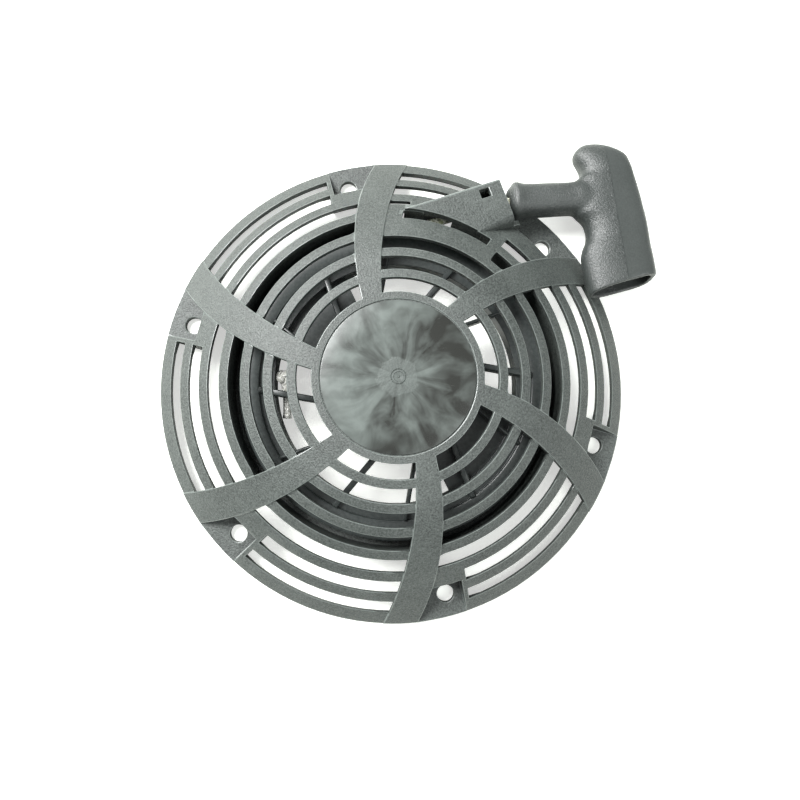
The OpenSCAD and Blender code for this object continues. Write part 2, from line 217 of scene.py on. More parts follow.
def settle(piece):
    # turns the modified result into the piece's own plain mesh
    bpy.context.view_layer.update()
    graph = bpy.context.evaluated_depsgraph_get()
    mesh = bpy.data.meshes.new_from_object(piece.evaluated_get(graph))
    piece.modifiers.clear()
    piece.data = mesh


# short ways to lay and join nodes
class shaderBoard:
    def __init__(self, tree):
        self.tree = tree

    def add(self, kind, **settings):
        node = self.tree.nodes.new(kind)
        for name, value in settings.items():
            setattr(node, name, value)
        return node

    def link(self, source, target):
        self.tree.links.new(source, target)

    def feed(self, socket, value):
        if isinstance(value, bpy.types.NodeSocket):
            self.link(value, socket)
        else:
            socket.default_value = value

    def sum(self, operation, a, b=0.0, c=0.0):
        node = self.add("ShaderNodeMath", operation=operation)
        for socket, value in zip(node.inputs, (a, b, c)):
            self.feed(socket, value)
        return node.outputs[0]

    def noise(self, vector, scale, detail=2.0, rough=0.5, distort=0.0):
        node = self.add("ShaderNodeTexNoise")
        self.link(vector, node.inputs["Vector"])
        for name, value in (("Scale", scale), ("Detail", detail),
                            ("Roughness", rough), ("Distortion", distort)):
            self.feed(node.inputs[name], value)
        return node.outputs["Fac"]

    def spread(self, value, low, high, outLow=0.0, outHigh=1.0, clamp=True):
        node = self.add("ShaderNodeMapRange", clamp=clamp)
        for socket, item in zip(node.inputs, (value, low, high, outLow, outHigh)):
            self.feed(socket, item)
        return node.outputs[0]

    def blend(self, factor, a, b):
        node = self.add("ShaderNodeMix", data_type="RGBA")
        self.feed(node.inputs[0], factor)
        self.feed(node.inputs[6], a)
        self.feed(node.inputs[7], b)
        return node.outputs[2]


def newGroup(name, inputs, outputs):
    tree = bpy.data.node_groups.new(name, "ShaderNodeTree")
    for label, kind, value in inputs:
        socket = tree.interface.new_socket(label, in_out="INPUT", socket_type=kind)
        socket.default_value = value
    for label, kind in outputs:
        tree.interface.new_socket(label, in_out="OUTPUT", socket_type=kind)
    board = shaderBoard(tree)
    return board, board.add("NodeGroupInput").outputs, board.add("NodeGroupOutput").inputs


def makeMouldedGrain():
    # fine sparkle of a spark-eroded mould: shade, roughness change and height
    board, given, out = newGroup(
        "mouldedGrain",
        [("Grain Scale", "NodeSocketFloat", 1500.0), ("Cloud Scale", "NodeSocketFloat", 45.0),
         ("Cloud Amount", "NodeSocketFloat", 0.12)],
        [("Shade", "NodeSocketFloat"), ("Rough Change", "NodeSocketFloat"),
         ("Height", "NodeSocketFloat")])
    where = board.add("ShaderNodeTexCoord").outputs["Object"]
    fine = board.noise(where, given["Grain Scale"], 3.0, 0.62)
    cloud = board.noise(where, given["Cloud Scale"], 4.0, 0.55, 0.4)
    speck = board.spread(fine, 0.3, 0.7, -0.5, 0.5)
    drift = board.sum("MULTIPLY", board.spread(cloud, 0.3, 0.7, -1.0, 1.0), given["Cloud Amount"])
    board.feed(out["Shade"], board.sum("ADD", board.sum("MULTIPLY_ADD", speck, 0.9, 0.5), drift))
    board.feed(out["Rough Change"], board.sum("MULTIPLY_ADD", cloud, 0.16, -0.08))
    board.feed(out["Height"], fine)
    return board.tree


def makeHandling():
    # scattered scuffs and settled dust
    board, given, out = newGroup(
        "handlingMarks",
        [("Scuff Scale", "NodeSocketFloat", 60.0), ("Amount", "NodeSocketFloat", 0.5)],
        [("Scuff", "NodeSocketFloat"), ("Dust", "NodeSocketFloat")])
    where = board.add("ShaderNodeTexCoord").outputs["Object"]
    stretch = board.add("ShaderNodeMapping")
    stretch.inputs["Scale"].default_value = (1.0, 6.0, 1.0)
    stretch.inputs["Rotation"].default_value = (0.0, 0.0, 0.6)
    board.link(where, stretch.inputs["Vector"])
    lines = board.noise(stretch.outputs[0], given["Scuff Scale"], 6.0, 0.7)
    places = board.noise(where, 22.0, 3.0, 0.5)
    mark = board.sum("MULTIPLY", board.spread(lines, 0.62, 0.72), board.spread(places, 0.5, 0.65))
    board.feed(out["Scuff"], board.sum("MULTIPLY", mark, given["Amount"]))
    dust = board.spread(board.noise(where, 900.0, 4.0, 0.7), 0.55, 0.85)
    board.feed(out["Dust"], board.sum("MULTIPLY", dust, given["Amount"]))
    return board.tree


grainGroup = makeMouldedGrain()
handlingGroup = makeHandling()


def startMaterial(name):
    material = bpy.data.materials.new(name)
    material.use_nodes = True
    board = shaderBoard(material.node_tree)
    return material, board, material.node_tree.nodes["Principled BSDF"].inputs


def useGroup(board, group, **values):
    node = board.add("ShaderNodeGroup", node_tree=group)
    for label, value in values.items():
        node.inputs[label.replace("_", " ")].default_value = value
    return node.outputs


def addBump(board, shader, height, distance, strength=1.0):
    bump = board.add("ShaderNodeBump")
    bump.inputs["Distance"].default_value = distance
    bump.inputs["Strength"].default_value = strength
    board.link(height, bump.inputs["Height"])
    board.link(bump.outputs[0], shader["Normal"])


def plasticFinish(name, dark, light, rough, grainScale, depth, gloss=0.5, clouds=0.12, scuff=0.5):
    material, board, shader = startMaterial(name)
    grain = useGroup(board, grainGroup, Grain_Scale=grainScale, Cloud_Amount=clouds)
    marks = useGroup(board, handlingGroup, Amount=scuff)
    body = board.blend(grain["Shade"], (*dark, 1), (*light, 1))
    scuffed = board.blend(board.sum("MULTIPLY", marks["Scuff"], 0.35), body, (0.30, 0.32, 0.31, 1))
    dusty = board.blend(board.sum("MULTIPLY", marks["Dust"], 0.12), scuffed, (0.5, 0.5, 0.46, 1))
    board.link(dusty, shader["Base Color"])
    board.link(board.sum("ADD", grain["Rough Change"], rough), shader["Roughness"])
    shader["Specular IOR Level"].default_value = gloss
    addBump(board, shader, grain["Height"], depth)
    return material


plasticLook = {
    "housing": dict(dark=(0.008, 0.011, 0.010), light=(0.082, 0.094, 0.087), rough=0.50,
                    grainScale=1450.0, depth=0.00032, gloss=0.55),
    # painted highlight: a lighter, glossier copy of the housing plastic for the rounded edges
    "edge": dict(dark=(0.060, 0.070, 0.066), light=(0.15, 0.17, 0.16), rough=0.34,
                 grainScale=1500.0, depth=0.00010, gloss=0.7),
    "handle": dict(dark=(0.016, 0.019, 0.018), light=(0.052, 0.059, 0.056), rough=0.36,
                   grainScale=1500.0, depth=0.00032, gloss=0.6),
    "reel": dict(dark=(0.020, 0.025, 0.024), light=(0.045, 0.053, 0.051), rough=0.33,
                 grainScale=700.0, depth=0.00002, gloss=0.6),
    "guide": dict(dark=(0.05, 0.052, 0.055), light=(0.10, 0.105, 0.11), rough=0.42,
                  grainScale=900.0, depth=0.00003),
    "bush": dict(dark=(0.55, 0.53, 0.46), light=(0.72, 0.70, 0.62), rough=0.38,
                 grainScale=600.0, depth=0.00002, scuff=0.2),
}
housingPlastic = plasticFinish("housingPlastic", **plasticLook["housing"])
# painted highlight material for the bevelled edges
housingEdgeHighlight = plasticFinish("housingEdgeHighlight", **plasticLook["edge"])
reelPlastic = plasticFinish("reelPlastic", **plasticLook["reel"])
guidePlastic = plasticFinish("guidePlastic", **plasticLook["guide"])
bushPlastic = plasticFinish("bushPlastic", **plasticLook["bush"])


hubFaceLook = {
    "dark": (0.016, 0.017, 0.015), "light": (0.100, 0.116, 0.108), "scratch": (0.35, 0.38, 0.36),
    "gateDark": (0.030, 0.036, 0.034), "gateLight": (0.11, 0.13, 0.12), "gateEdge": (0.0044, 0.0052),
    "fanMix": 0.62, "fanStretch": 26.0, "rough": 0.26, "depth": 0.00035, "bump": 0.55,
}


def hubFaceFinish(look):
    # smooth moulded disc with flow blotches fanning out from the gate
    material, board, shader = startMaterial("hubFacePlastic")
    where = board.add("ShaderNodeTexCoord").outputs["Object"]
    split = board.add("ShaderNodeSeparateXYZ")
    board.link(where, split.inputs[0])
    x, y = split.outputs[0], split.outputs[1]
    squares = board.sum("ADD", board.sum("MULTIPLY", x, x), board.sum("MULTIPLY", y, y))
    reach = board.sum("SQRT", squares)
    safeReach = board.sum("MAXIMUM", reach, 0.0005)
    fan = board.add("ShaderNodeCombineXYZ")
    board.link(board.sum("DIVIDE", x, safeReach), fan.inputs[0])
    board.link(board.sum("DIVIDE", y, safeReach), fan.inputs[1])
    board.link(board.sum("MULTIPLY", reach, look["fanStretch"]), fan.inputs[2])
    fanned = board.spread(board.noise(fan.outputs[0], 2.3, 3.0, 0.5, 0.9), 0.36, 0.66)
    cloudy = board.spread(board.noise(where, 75.0, 3.0, 0.5, 0.7), 0.34, 0.68)
    blotch = board.sum("ADD", board.sum("MULTIPLY", fanned, look["fanMix"]),
                       board.sum("MULTIPLY", cloudy, 1 - look["fanMix"]))
    paintedLightLean = board.sum("SUBTRACT", x, board.sum("MULTIPLY", y, 0.25))   # painted light: paler towards the upper left, the side the key light comes from
    tone = board.sum("ADD", blotch, board.spread(paintedLightLean, -0.026, 0.026, 0.22, -0.26))
    wobble = board.sum("MULTIPLY", board.noise(where, 160.0, 3.0, 0.6), 0.0062)
    patch = board.spread(board.sum("SUBTRACT", reach, wobble), *look["gateEdge"], 1.0, 0.0)
    halfPatch = board.sum("MULTIPLY", patch, 0.5)
    base = board.blend(tone, (*look["dark"], 1), (*look["light"], 1))
    grit = board.noise(where, 1400.0, 3.0, 0.7)
    gritty = board.blend(grit, (*look["gateDark"], 1), (*look["gateLight"], 1))
    scratch = useGroup(board, handlingGroup, Scuff_Scale=150.0, Amount=0.9)
    marked = board.blend(board.sum("MULTIPLY", scratch["Scuff"], 0.25), base, (*look["scratch"], 1))
    board.link(board.blend(halfPatch, marked, gritty), shader["Base Color"])
    smooth = board.sum("MULTIPLY_ADD", blotch, 0.12, look["rough"])
    board.link(board.sum("ADD", smooth, board.sum("MULTIPLY", patch, 0.16)), shader["Roughness"])
    pitted = board.sum("MULTIPLY", halfPatch, board.noise(where, 1100.0, 2.0, 0.6))
    height = board.sum("ADD", board.noise(where, 90.0, 2.0, 0.5, 0.6), pitted)
    addBump(board, shader, height, look["depth"], look["bump"])
    return material


def handleFinish(name, dark, light, rough, grainScale, depth, gloss):
    # grained where the fingers hold it, smooth on the palm side of a fine parting line
    material, board, shader = startMaterial(name)
    split = board.add("ShaderNodeSeparateXYZ")
    board.link(board.add("ShaderNodeTexCoord").outputs["Object"], split.inputs[0])
    along = board.sum("ADD", board.sum("MULTIPLY", split.outputs[0], cos(radians(4))),
                      board.sum("MULTIPLY_ADD", split.outputs[1], sin(radians(4)) + 0.07, -0.0610))
    palm = board.spread(along, 0.0474, 0.0480)
    line = board.sum("COMPARE", along, 0.0476, 0.00028)
    grain = useGroup(board, grainGroup, Grain_Scale=grainScale, Cloud_Amount=0.10)
    marks = useGroup(board, handlingGroup, Scuff_Scale=90.0, Amount=0.7)
    body = board.blend(grain["Shade"], (*dark, 1), (*light, 1))
    smooth = tuple(0.45 * a + 0.55 * b for a, b in zip(dark, light))
    calm = board.blend(board.sum("MULTIPLY", palm, 0.65), body, (*smooth, 1))
    scuffed = board.blend(board.sum("MULTIPLY", marks["Scuff"], 0.3), calm, (0.26, 0.28, 0.27, 1))
    board.link(scuffed, shader["Base Color"])
    board.link(board.sum("ADD", board.sum("MULTIPLY_ADD", palm, 0.04, rough), grain["Rough Change"]),
               shader["Roughness"])
    shader["Specular IOR Level"].default_value = gloss
    deep = board.sum("MULTIPLY", grain["Height"], board.sum("MULTIPLY_ADD", palm, -0.7, 1.0))
    addBump(board, shader, board.sum("SUBTRACT", deep, line), depth)
    return material


def metalFinish(name, base, rough, streak=0.12, tint=0.25):
    material, board, shader = startMaterial(name)
    where = board.add("ShaderNodeTexCoord").outputs["Object"]
    brushed = board.noise(where, 1800.0, 3.0, 0.6)
    stains = board.spread(board.noise(where, 120.0, 4.0, 0.6), 0.4, 0.7)
    darker = tuple(c * (1 - tint) for c in base)
    board.link(board.blend(stains, (*base, 1), (*darker, 1)), shader["Base Color"])
    shader["Metallic"].default_value = 1.0
    board.link(board.sum("MULTIPLY_ADD", brushed, streak, rough), shader["Roughness"])
    addBump(board, shader, brushed, 0.00002, 0.5)
    return material


hubFacePlastic = hubFaceFinish(hubFaceLook)
handlePlastic = handleFinish("handlePlastic", **plasticLook["handle"])
brassFinish = metalFinish("brass", (0.78, 0.58, 0.28), 0.24)
brightSteel = metalFinish("brightSteel", (0.68, 0.69, 0.70), 0.22)
pawlSteel = metalFinish("pawlSteel", (0.42, 0.42, 0.44), 0.34, tint=0.35)
springSteel = metalFinish("springSteel", (0.36, 0.38, 0.42), 0.28, tint=0.3)


def ropeFinish(name, pale, deep, fleckAmount, rough):
    # solid braid: crossing strands from the strand UV, with painted shade in the grooves between them and
    # olive tracer flecks
    material, board, shader = startMaterial(name)
    uv = board.add("ShaderNodeUVMap", uv_map="strand").outputs[0]
    split = board.add("ShaderNodeSeparateXYZ")
    board.link(uv, split.inputs[0])
    along = board.sum("DIVIDE", split.outputs[0], 2.6)
    around = board.sum("MULTIPLY", split.outputs[1], 4.0)
    right = board.sum("SINE", board.sum("MULTIPLY", board.sum("ADD", along, around), 2 * pi))
    left = board.sum("SINE", board.sum("MULTIPLY", board.sum("SUBTRACT", along, around), 2 * pi))
    height = board.sum("MAXIMUM", right, left)
    cell = board.add("ShaderNodeTexWhiteNoise", noise_dimensions="2D")
    spot = board.add("ShaderNodeCombineXYZ")
    board.link(board.sum("FLOOR", board.sum("ADD", along, around)), spot.inputs[0])
    board.link(board.sum("FLOOR", board.sum("SUBTRACT", along, around)), spot.inputs[1])
    board.link(spot.outputs[0], cell.inputs["Vector"])
    fleck = board.sum("GREATER_THAN", cell.outputs["Value"], 0.88)
    # painted shade: the yarn is darkened down in the grooves between strands
    paintedGrooveShade = board.spread(height, -0.2, 0.9)
    yarn = board.blend(paintedGrooveShade, (*deep, 1), (*pale, 1))
    board.link(board.blend(board.sum("MULTIPLY", fleck, fleckAmount), yarn, (0.25, 0.29, 0.12, 1)),
               shader["Base Color"])
    shader["Roughness"].default_value = rough
    shader["Sheen Weight"].default_value = 0.3
    fibres = board.sum("MULTIPLY", board.noise(uv, 9.0, 3.0, 0.6), 0.25)
    addBump(board, shader, board.sum("ADD", height, fibres), 0.00022, 0.8)
    return material


ropeLook = {
    # deep is the painted shade colour down between the strands
    "braid": dict(pale=(0.86, 0.87, 0.74), deep=(0.42, 0.43, 0.30), fleckAmount=0.75, rough=0.7),
    "sealed": dict(pale=(0.95, 0.95, 0.90), deep=(0.66, 0.66, 0.60), fleckAmount=0.15, rough=0.25),
}
ropeBraid = ropeFinish("ropeBraid", **ropeLook["braid"])
sealedRope = ropeFinish("sealedRope", **ropeLook["sealed"])
print("materials ready")


# the housing is moulded in one piece: grille, tabs, chute, guard wall and centre post
shellSizes = {
    "flangeR": 105.0, "hubH": 38.0, "domeR": 32.0, "domeP": 1.7, "edgeH": 2.6, "wall": 3.2,
    "discR": 31.4, "discLine": 1.2, "postR": 9.5, "spokeLift": 0.8, "rimIn": 100.5,
    "boltAngle": 43.4, "boltAt": 95.0, "boltR": 3.75, "boltSides": 32, "tabT": 3.0,
    "tabHalf": 7.4, "tabWall": 2.0, "tabIn": 88.5, "blockIn": 86.5, "pocketIn": 81.5,
    "slotIn": 34.5, "slotPitch": 9.85, "slotW": 6.1, "slotTaper": 0.15, "slotCount": 7,
    "slitR": (69.6, 73.9), "slitAngle": (56.5, 88.5),
}
outletSizes = {
    "eyeX": 49.5, "eyeY": 83.2, "ropeZ": 13.0, "turn": 20.5, "lowZ": 1.5, "roof": 23.0, "climb": 0.075,
    "wall": 2.2, "lowV": -13.2, "highV": 7.8, "backR": 74.2, "frontU": -2.0, "boreR": 4.6,
}
# columns of grille cells: the spoke's, the last one of a tab, and those beyond it
gridSizes = {"spoke": 4, "tab": 8, "pastTab": 12, "mouthTab": 12, "pastMouth": 30}
eye = Vector((outletSizes["eyeX"], outletSizes["eyeY"], 0))
chuteDir = polar(1, outletSizes["turn"])
chuteSide = polar(1, outletSizes["turn"] + 90)


def dome(r):
    s = shellSizes
    fall = max(0.0, r - s["domeR"]) / (s["flangeR"] - s["domeR"])
    return s["hubH"] - (s["hubH"] - s["edgeH"]) * fall ** s["domeP"]


def slotEdge(k):
    inner = shellSizes["slotIn"] + shellSizes["slotPitch"] * k
    return inner, inner + shellSizes["slotW"] - shellSizes["slotTaper"] * k


def circleThrough(p, q, s):
    d = 2 * (p.x * (q.y - s.y) + q.x * (s.y - p.y) + s.x * (p.y - q.y))
    pp, qq, ss = (v.length_squared for v in (p, q, s))
    return Vector(((pp * (q.y - s.y) + qq * (s.y - p.y) + ss * (p.y - q.y)) / d,
                   (pp * (s.x - q.x) + qq * (p.x - s.x) + ss * (q.x - p.x)) / d, 0))


def spokeEdge(marks):
    # angle of a curved spoke edge at any radius, from three (r, angle) marks
    points = [polar(r, a) for r, a in marks]
    centre = circleThrough(*points)
    size = (points[0] - centre).length
    reach, heading = centre.length, degrees(atan2(centre.y, centre.x))

    def angleAt(r):
        opening = degrees(acos((r * r + reach * reach - size * size) / (2 * r * reach)))
        choices = (heading + opening, heading - opening)
        return min(choices, key=lambda a: abs(a - marks[1][1]))
    return angleAt


boltAngle = shellSizes["boltAngle"]
nearEdge = spokeEdge([(105, boltAngle - 16.4), (70, boltAngle - 9.4), (38, boltAngle - 3)])
farEdge = spokeEdge([(105, boltAngle - 8.1), (70, boltAngle + 1.4), (37, boltAngle + 10.9)])


def besideHole(r, offset):
    # angle of a line beside the bolt hole; below the tab it fades into the slot ends
    pocketIn = shellSizes["pocketIn"]
    if r >= pocketIn:
        return boltAngle + degrees(asin(offset / r))
    low, high = farEdge(pocketIn), nearEdge(pocketIn) + 60
    share = (besideHole(pocketIn, offset) - low) / (high - low)
    return farEdge(r) + share * (nearEdge(r) + 60 - farEdge(r))


def mouthLine(r):
    # angle of the chute's mouth face at any radius outside the tab edge
    mouthAngle, slotOut, tabIn = 52.6, 79.4, shellSizes["tabIn"]
    if r < slotOut + 0.1:
        return mouthAngle if r > 60 else farEdge(r) + 0.125 * (nearEdge(r) + 60 - farEdge(r))
    if r < tabIn:
        return mouthAngle + (mouthLine(tabIn) - mouthAngle) * (r - slotOut) / (tabIn - slotOut)
    foot = eye + chuteDir * -2.2
    b = foot.dot(chuteSide)
    spot = foot + chuteSide * (sqrt(b * b - foot.length_squared + r * r) - b)
    return degrees(atan2(spot.y, spot.x))


def even(start, end, count):
    return [start + (end - start) * i / count for i in range(count)]


def columnsAt(r, sector):
    near, far, g = nearEdge(r), farEdge(r), gridSizes
    angles = even(near, far, g["spoke"])
    if sector == 0:
        middle = mouthLine(r)
        angles += even(far, middle, g["mouthTab"] - g["spoke"]) + even(middle, near + 60, g["pastMouth"])
    else:
        inner = besideHole(r, shellSizes["tabHalf"])
        outer = besideHole(r, shellSizes["tabHalf"] + shellSizes["tabWall"])
        angles += even(far, inner, g["tab"] - g["spoke"]) + [inner] + even(outer, near + 60, g["pastTab"])
    return [a + 60 * sector for a in angles]


def columnCount(sector):
    g = gridSizes
    return g["tab"] + 1 + g["pastTab"] if sector else g["mouthTab"] + g["pastMouth"]


rowRadii = [shellSizes[name] for name in ("discR", "pocketIn", "blockIn", "tabIn", "rimIn", "flangeR")]
for slotIndex in range(shellSizes["slotCount"]):
    rowRadii += list(slotEdge(slotIndex))
rowRadii += [42.5, 47.5, 52.2, 62.0, 71.8, 77.6, 91.4, 96.2, 103.0]   # these keep the dome round
rowRadii = sorted(set(round(r, 3) for r in rowRadii))


def inChute(point):
    u, v = (point - eye).dot(chuteDir), (point - eye).dot(chuteSide)
    return -70 < u < -2.4 and outletSizes["lowV"] + 0.4 < v < outletSizes["highV"] - 0.4


def closedRing(r):
    return columnsAt(r, 0) + [nearEdge(r) + 60]


def cellCorners(row, column):
    return [polar(r, angle) for r in (rowRadii[row], rowRadii[row + 1])
            for angle in closedRing(r)[column:column + 2]]


def inSlot(r):
    return next((k for k in range(shellSizes["slotCount"]) if slotEdge(k)[0] < r < slotEdge(k)[1]), None)


def cellKind(row, column, sector):
    # "open", "dome", "block" (solid down to the flange) or "tab"
    s, g = shellSizes, gridSizes
    low, r = rowRadii[row], (rowRadii[row] + rowRadii[row + 1]) / 2
    inBlock, inRim = low >= s["blockIn"], low >= s["rimIn"]
    if column < g["spoke"]:
        return "block" if inRim or inBlock and column >= g["spoke"] / 2 else "dome"
    if sector == 0:
        return mouthCellKind(row, column, r)
    if low >= s["tabIn"] and column < g["tab"]:
        return "tab"
    if low >= s["pocketIn"] and column <= g["tab"]:
        return "block" if inBlock else "dome"
    if inSlot(r) is not None:
        return "open"
    return "block" if inRim else "dome"


def mouthCellKind(row, column, r):
    # the sector that holds the chute; its slots k are counted from the hub
    s, low, k = shellSizes, rowRadii[row], inSlot(r)
    beforeMouth = column < gridSizes["mouthTab"]
    angle = sum(closedRing(r)[column:column + 2]) / 2
    if low >= s["tabIn"] and beforeMouth:
        return "tab"
    if low >= 73.8 and 49 < angle < 90.5 and all(inChute(p) for p in cellCorners(row, column)):
        return "open"
    if s["slitR"][0] < r < s["slitR"][1]:
        return "open" if s["slitAngle"][0] < angle < s["slitAngle"][1] else "dome"
    if k is None:
        return "block" if low >= s["blockIn"] and beforeMouth or low >= s["rimIn"] else "dome"
    if k < 3:
        return "open"
    if k == 3:
        return "open" if beforeMouth else "dome"
    if k == 4:
        return "open" if beforeMouth or angle > 86 and low > 77 else "dome"
    if angle < 60.5:
        return "block" if low >= s["blockIn"] else "dome"
    return "open"


def smoothStep(value, low, high):
    t = min(1.0, max(0.0, (value - low) / (high - low)))
    return t * t * (3 - 2 * t)


def topAt(r, kind, onSpoke):
    if kind == "tab":
        return shellSizes["tabT"]
    return dome(r) + (shellSizes["spokeLift"] * smoothStep(r, 43.0, 54.0) if onSpoke else 0.0)


def bottomAt(r, kind):
    return 0.0 if kind in ("tab", "block") or r >= 105 else dome(r) - shellSizes["wall"]


def buildGrille():
    bm = bmesh.new()
    columns = [[a for sector in range(6) for a in columnsAt(r, sector)] for r in rowRadii]
    owner = [(sector, c) for sector in range(6) for c in range(columnCount(sector))]
    total, rows = len(owner), len(rowRadii) - 1
    kinds = [[cellKind(i, c, sector) for sector, c in owner] for i in range(rows)]

    def spot(i, j, z):
        return polar(rowRadii[i], columns[i][j % total] + (360 if j >= total else 0), z)

    def levels(i, j, r):
        kind, onSpoke = kinds[i][j], owner[j][1] < gridSizes["spoke"]
        return topAt(r, kind, onSpoke), bottomAt(r, kind)

    def sharedEdge(start, end, *cells):
        # a wall where a cell meets an open one, or a step where two cells differ in height
        solid = [(i, j) for i, j in cells if i < rows and kinds[i][j] != "open"]
        atStart = [levels(i, j, rowRadii[start[0]]) for i, j in solid]
        atEnd = [levels(i, j, rowRadii[end[0]]) for i, j in solid]
        if len(solid) == 1:
            (top0, low0), (top1, low1) = atStart[0], atEnd[0]
            face(bm, [spot(*start, top0), spot(*end, top1), spot(*end, low1), spot(*start, low0)])
        elif solid:
            for (a0, b0), (a1, b1) in zip(zip(*atStart), zip(*atEnd)):
                if abs(a0 - b0) + abs(a1 - b1) > 0.01:
                    face(bm, [spot(*start, a0), spot(*end, a1), spot(*end, b1), spot(*start, b0)])

    for i in range(rows):
        for j in range(total):
            n = j + 1
            if kinds[i][j] in ("dome", "block"):
                top0, low0 = levels(i, j, rowRadii[i])
                top1, low1 = levels(i, j, rowRadii[i + 1])
                face(bm, [spot(i, j, top0), spot(i, n, top0), spot(i + 1, n, top1), spot(i + 1, j, top1)])
                face(bm, [spot(i, j, low0), spot(i + 1, j, low1), spot(i + 1, n, low1), spot(i, n, low0)])
            sharedEdge((i, n), (i + 1, n), (i, j), (i, n % total))
            sharedEdge((i + 1, j), (i + 1, n), (i, j), (i + 1, j))
    addTabs(bm, spot)
    addHubUnderside(bm, columns[0])
    bmesh.ops.remove_doubles(bm, verts=bm.verts, dist=0.004)
    roundSlotCorners(bm)
    return storeMesh(bm, "housingGrille")


def addTabs(bm, spot):
    # flat tab floors round the bolt holes
    s, spoke, first = shellSizes, gridSizes["spoke"], 0
    tabRows = [i for i, r in enumerate(rowRadii) if r >= s["tabIn"]]
    step = 360 / s["boltSides"]
    for sector in range(6):
        last = gridSizes["tab"] if sector else gridSizes["mouthTab"]
        rim = [(tabRows[0], first + c) for c in range(spoke, last + 1)]
        rim += [(i, first + last) for i in tabRows[1:]]
        rim += [(tabRows[-1], first + c) for c in range(last - 1, spoke - 1, -1)]
        rim += [(i, first + spoke) for i in reversed(tabRows[1:-1])]
        centre = polar(s["boltAt"], boltAngle + 60 * sector)
        for z in (s["tabT"], 0.0):
            flat = bmesh.new()
            hole = [centre + polar(s["boltR"], step * n, z) for n in range(s["boltSides"])]
            for loop in ([spot(i, j, z) for i, j in rim], hole):
                verts = [flat.verts.new(p) for p in loop]
                for a, b in zip(verts, verts[1:] + verts[:1]):
                    flat.edges.new((a, b))
            bmesh.ops.triangle_fill(flat, use_beauty=True, use_dissolve=False, edges=flat.edges[:])
            for tri in flat.faces:
                face(bm, [v.co for v in tri.verts])
            flat.free()
        for n in range(s["boltSides"]):
            a, b = (centre + polar(s["boltR"], step * m) for m in (n, n + 1))
            face(bm, [a, b, b + Vector((0, 0, s["tabT"])), a + Vector((0, 0, s["tabT"]))])
        first += columnCount(sector)


def addHubUnderside(bm, angles):
    # the underside out to the first row, and the outer wall of the line round the disc
    s = shellSizes
    under, low = s["hubH"] - s["wall"], s["hubH"] - s["discLine"]
    for a0, a1 in zip(angles, angles[1:] + [angles[0] + 360]):
        face(bm, [polar(s["discR"], a0, under), polar(s["discR"], a1, under),
                  polar(s["postR"], a1, under), polar(s["postR"], a0, under)])
        face(bm, [polar(s["discR"], a0, s["hubH"]), polar(s["discR"], a1, s["hubH"]),
                  polar(s["discR"], a1, low), polar(s["discR"], a0, low)])


def roundSlotCorners(bm):
    # the upright corners of the slots, rounder near the hub
    corners = []
    for edge in bm.edges:
        a, b = edge.verts
        if abs(a.co.z - b.co.z) < 1.5 or (a.co.xy - b.co.xy).length > 0.02 or len(edge.link_faces) != 2:
            continue
        r = a.co.xy.length
        if 33 <= r <= 99 and edge.calc_face_angle(0) >= radians(35):
            corners.append((r, edge))
    for low, high, size in ((33, 52, 1.15), (52, 72, 0.95), (72, 99.5, 0.75)):
        chosen = [e for r, e in corners if low <= r < high and e.is_valid]
        bmesh.ops.bevel(bm, geom=chosen, offset=size, segments=3, profile=0.5, affect="EDGES",
                        clamp_overlap=True)


def buildHubDisc():
    # the smooth disc with the gate mark in its middle, and the fine line round it
    bm = bmesh.new()
    lines = [(31.4, 37.5), (31.0, 37.5), (30.85, 37.93), (30.6, 38.0), (20.0, 38.0), (10.0, 38.0),
             (3.2, 38.0), (3.0, 37.7), (2.8, 37.7), (2.7, 37.97), (2.1, 37.99), (1.9, 37.8),
             (0.5, 37.7), (0.35, 37.96), (0.0, 37.99)]
    for k in range(180):
        a0, a1 = 2 * k, 2 * k + 2
        for (ra, za), (rb, zb) in zip(lines, lines[1:]):
            face(bm, [polar(ra, a0, za), polar(ra, a1, za), polar(rb, a1, zb), polar(rb, a0, zb)])
    disc = storeMesh(bm, "hubDisc", recalc=False)
    if disc.data.polygons[len(lines)].normal.z < 0:
        disc.data.flip_normals()
    return disc


grille = buildGrille()
print("grille built:", len(grille.data.polygons), "faces")


def chuteBackU(v, r):
    # where a line along the chute, v to its side, meets radius r
    b = eye.dot(chuteDir)
    c = v * v + 2 * v * eye.dot(chuteSide) + eye.length_squared - r * r
    return -b + sqrt(b * b - c)


def chutePoint(u, v, z=0.0):
    p = eye + chuteDir * u + chuteSide * v
    return Vector((p.x, p.y, z))


def chuteOutline(lowV, highV, backR, frontU, steps=14):
    points = [chutePoint(frontU, lowV)]
    points += [chutePoint(frontU, highV)]
    for i in range(steps + 1):
        v = highV + (lowV - highV) * i / steps
        points.append(chutePoint(chuteBackU(v, backR), v))
    return [(p.x, p.y) for p in points]


def boxCutter(u0, u1, v0, v1, z0, z1):
    bm = bmesh.new()
    prism(bm, [chutePoint(u, v).to_2d() for u, v in ((u0, v0), (u1, v0), (u1, v1), (u0, v1))], z0, z1)
    return storeMesh(bm, "cutter")


def rodCutter(place, heading, radius, length):
    bm = bmesh.new()
    direction = polar(1, heading)
    across = polar(1, heading + 90)
    rings = []
    for reach in (0, length):
        rings.append([place + direction * reach + across * radius * cos(pi * k / 24)
                      + Vector((0, 0, radius * sin(pi * k / 24))) for k in range(48)])
    for k in range(48):
        m = (k + 1) % 48
        face(bm, [rings[0][k], rings[0][m], rings[1][m], rings[1][k]])
    face(bm, rings[0])
    face(bm, rings[1])
    return storeMesh(bm, "cutter")


def roofEdges(bm, besideV):
    # edges of the roof that run along the chute at one side
    chosen = []
    for edge in bm.edges:
        mid = (edge.verts[0].co + edge.verts[1].co) / 2
        if mid.z > outletSizes["roof"] - 0.1 and abs((mid - eye).dot(chuteSide) - besideV) < 0.1:
            chosen.append(edge)
    return chosen


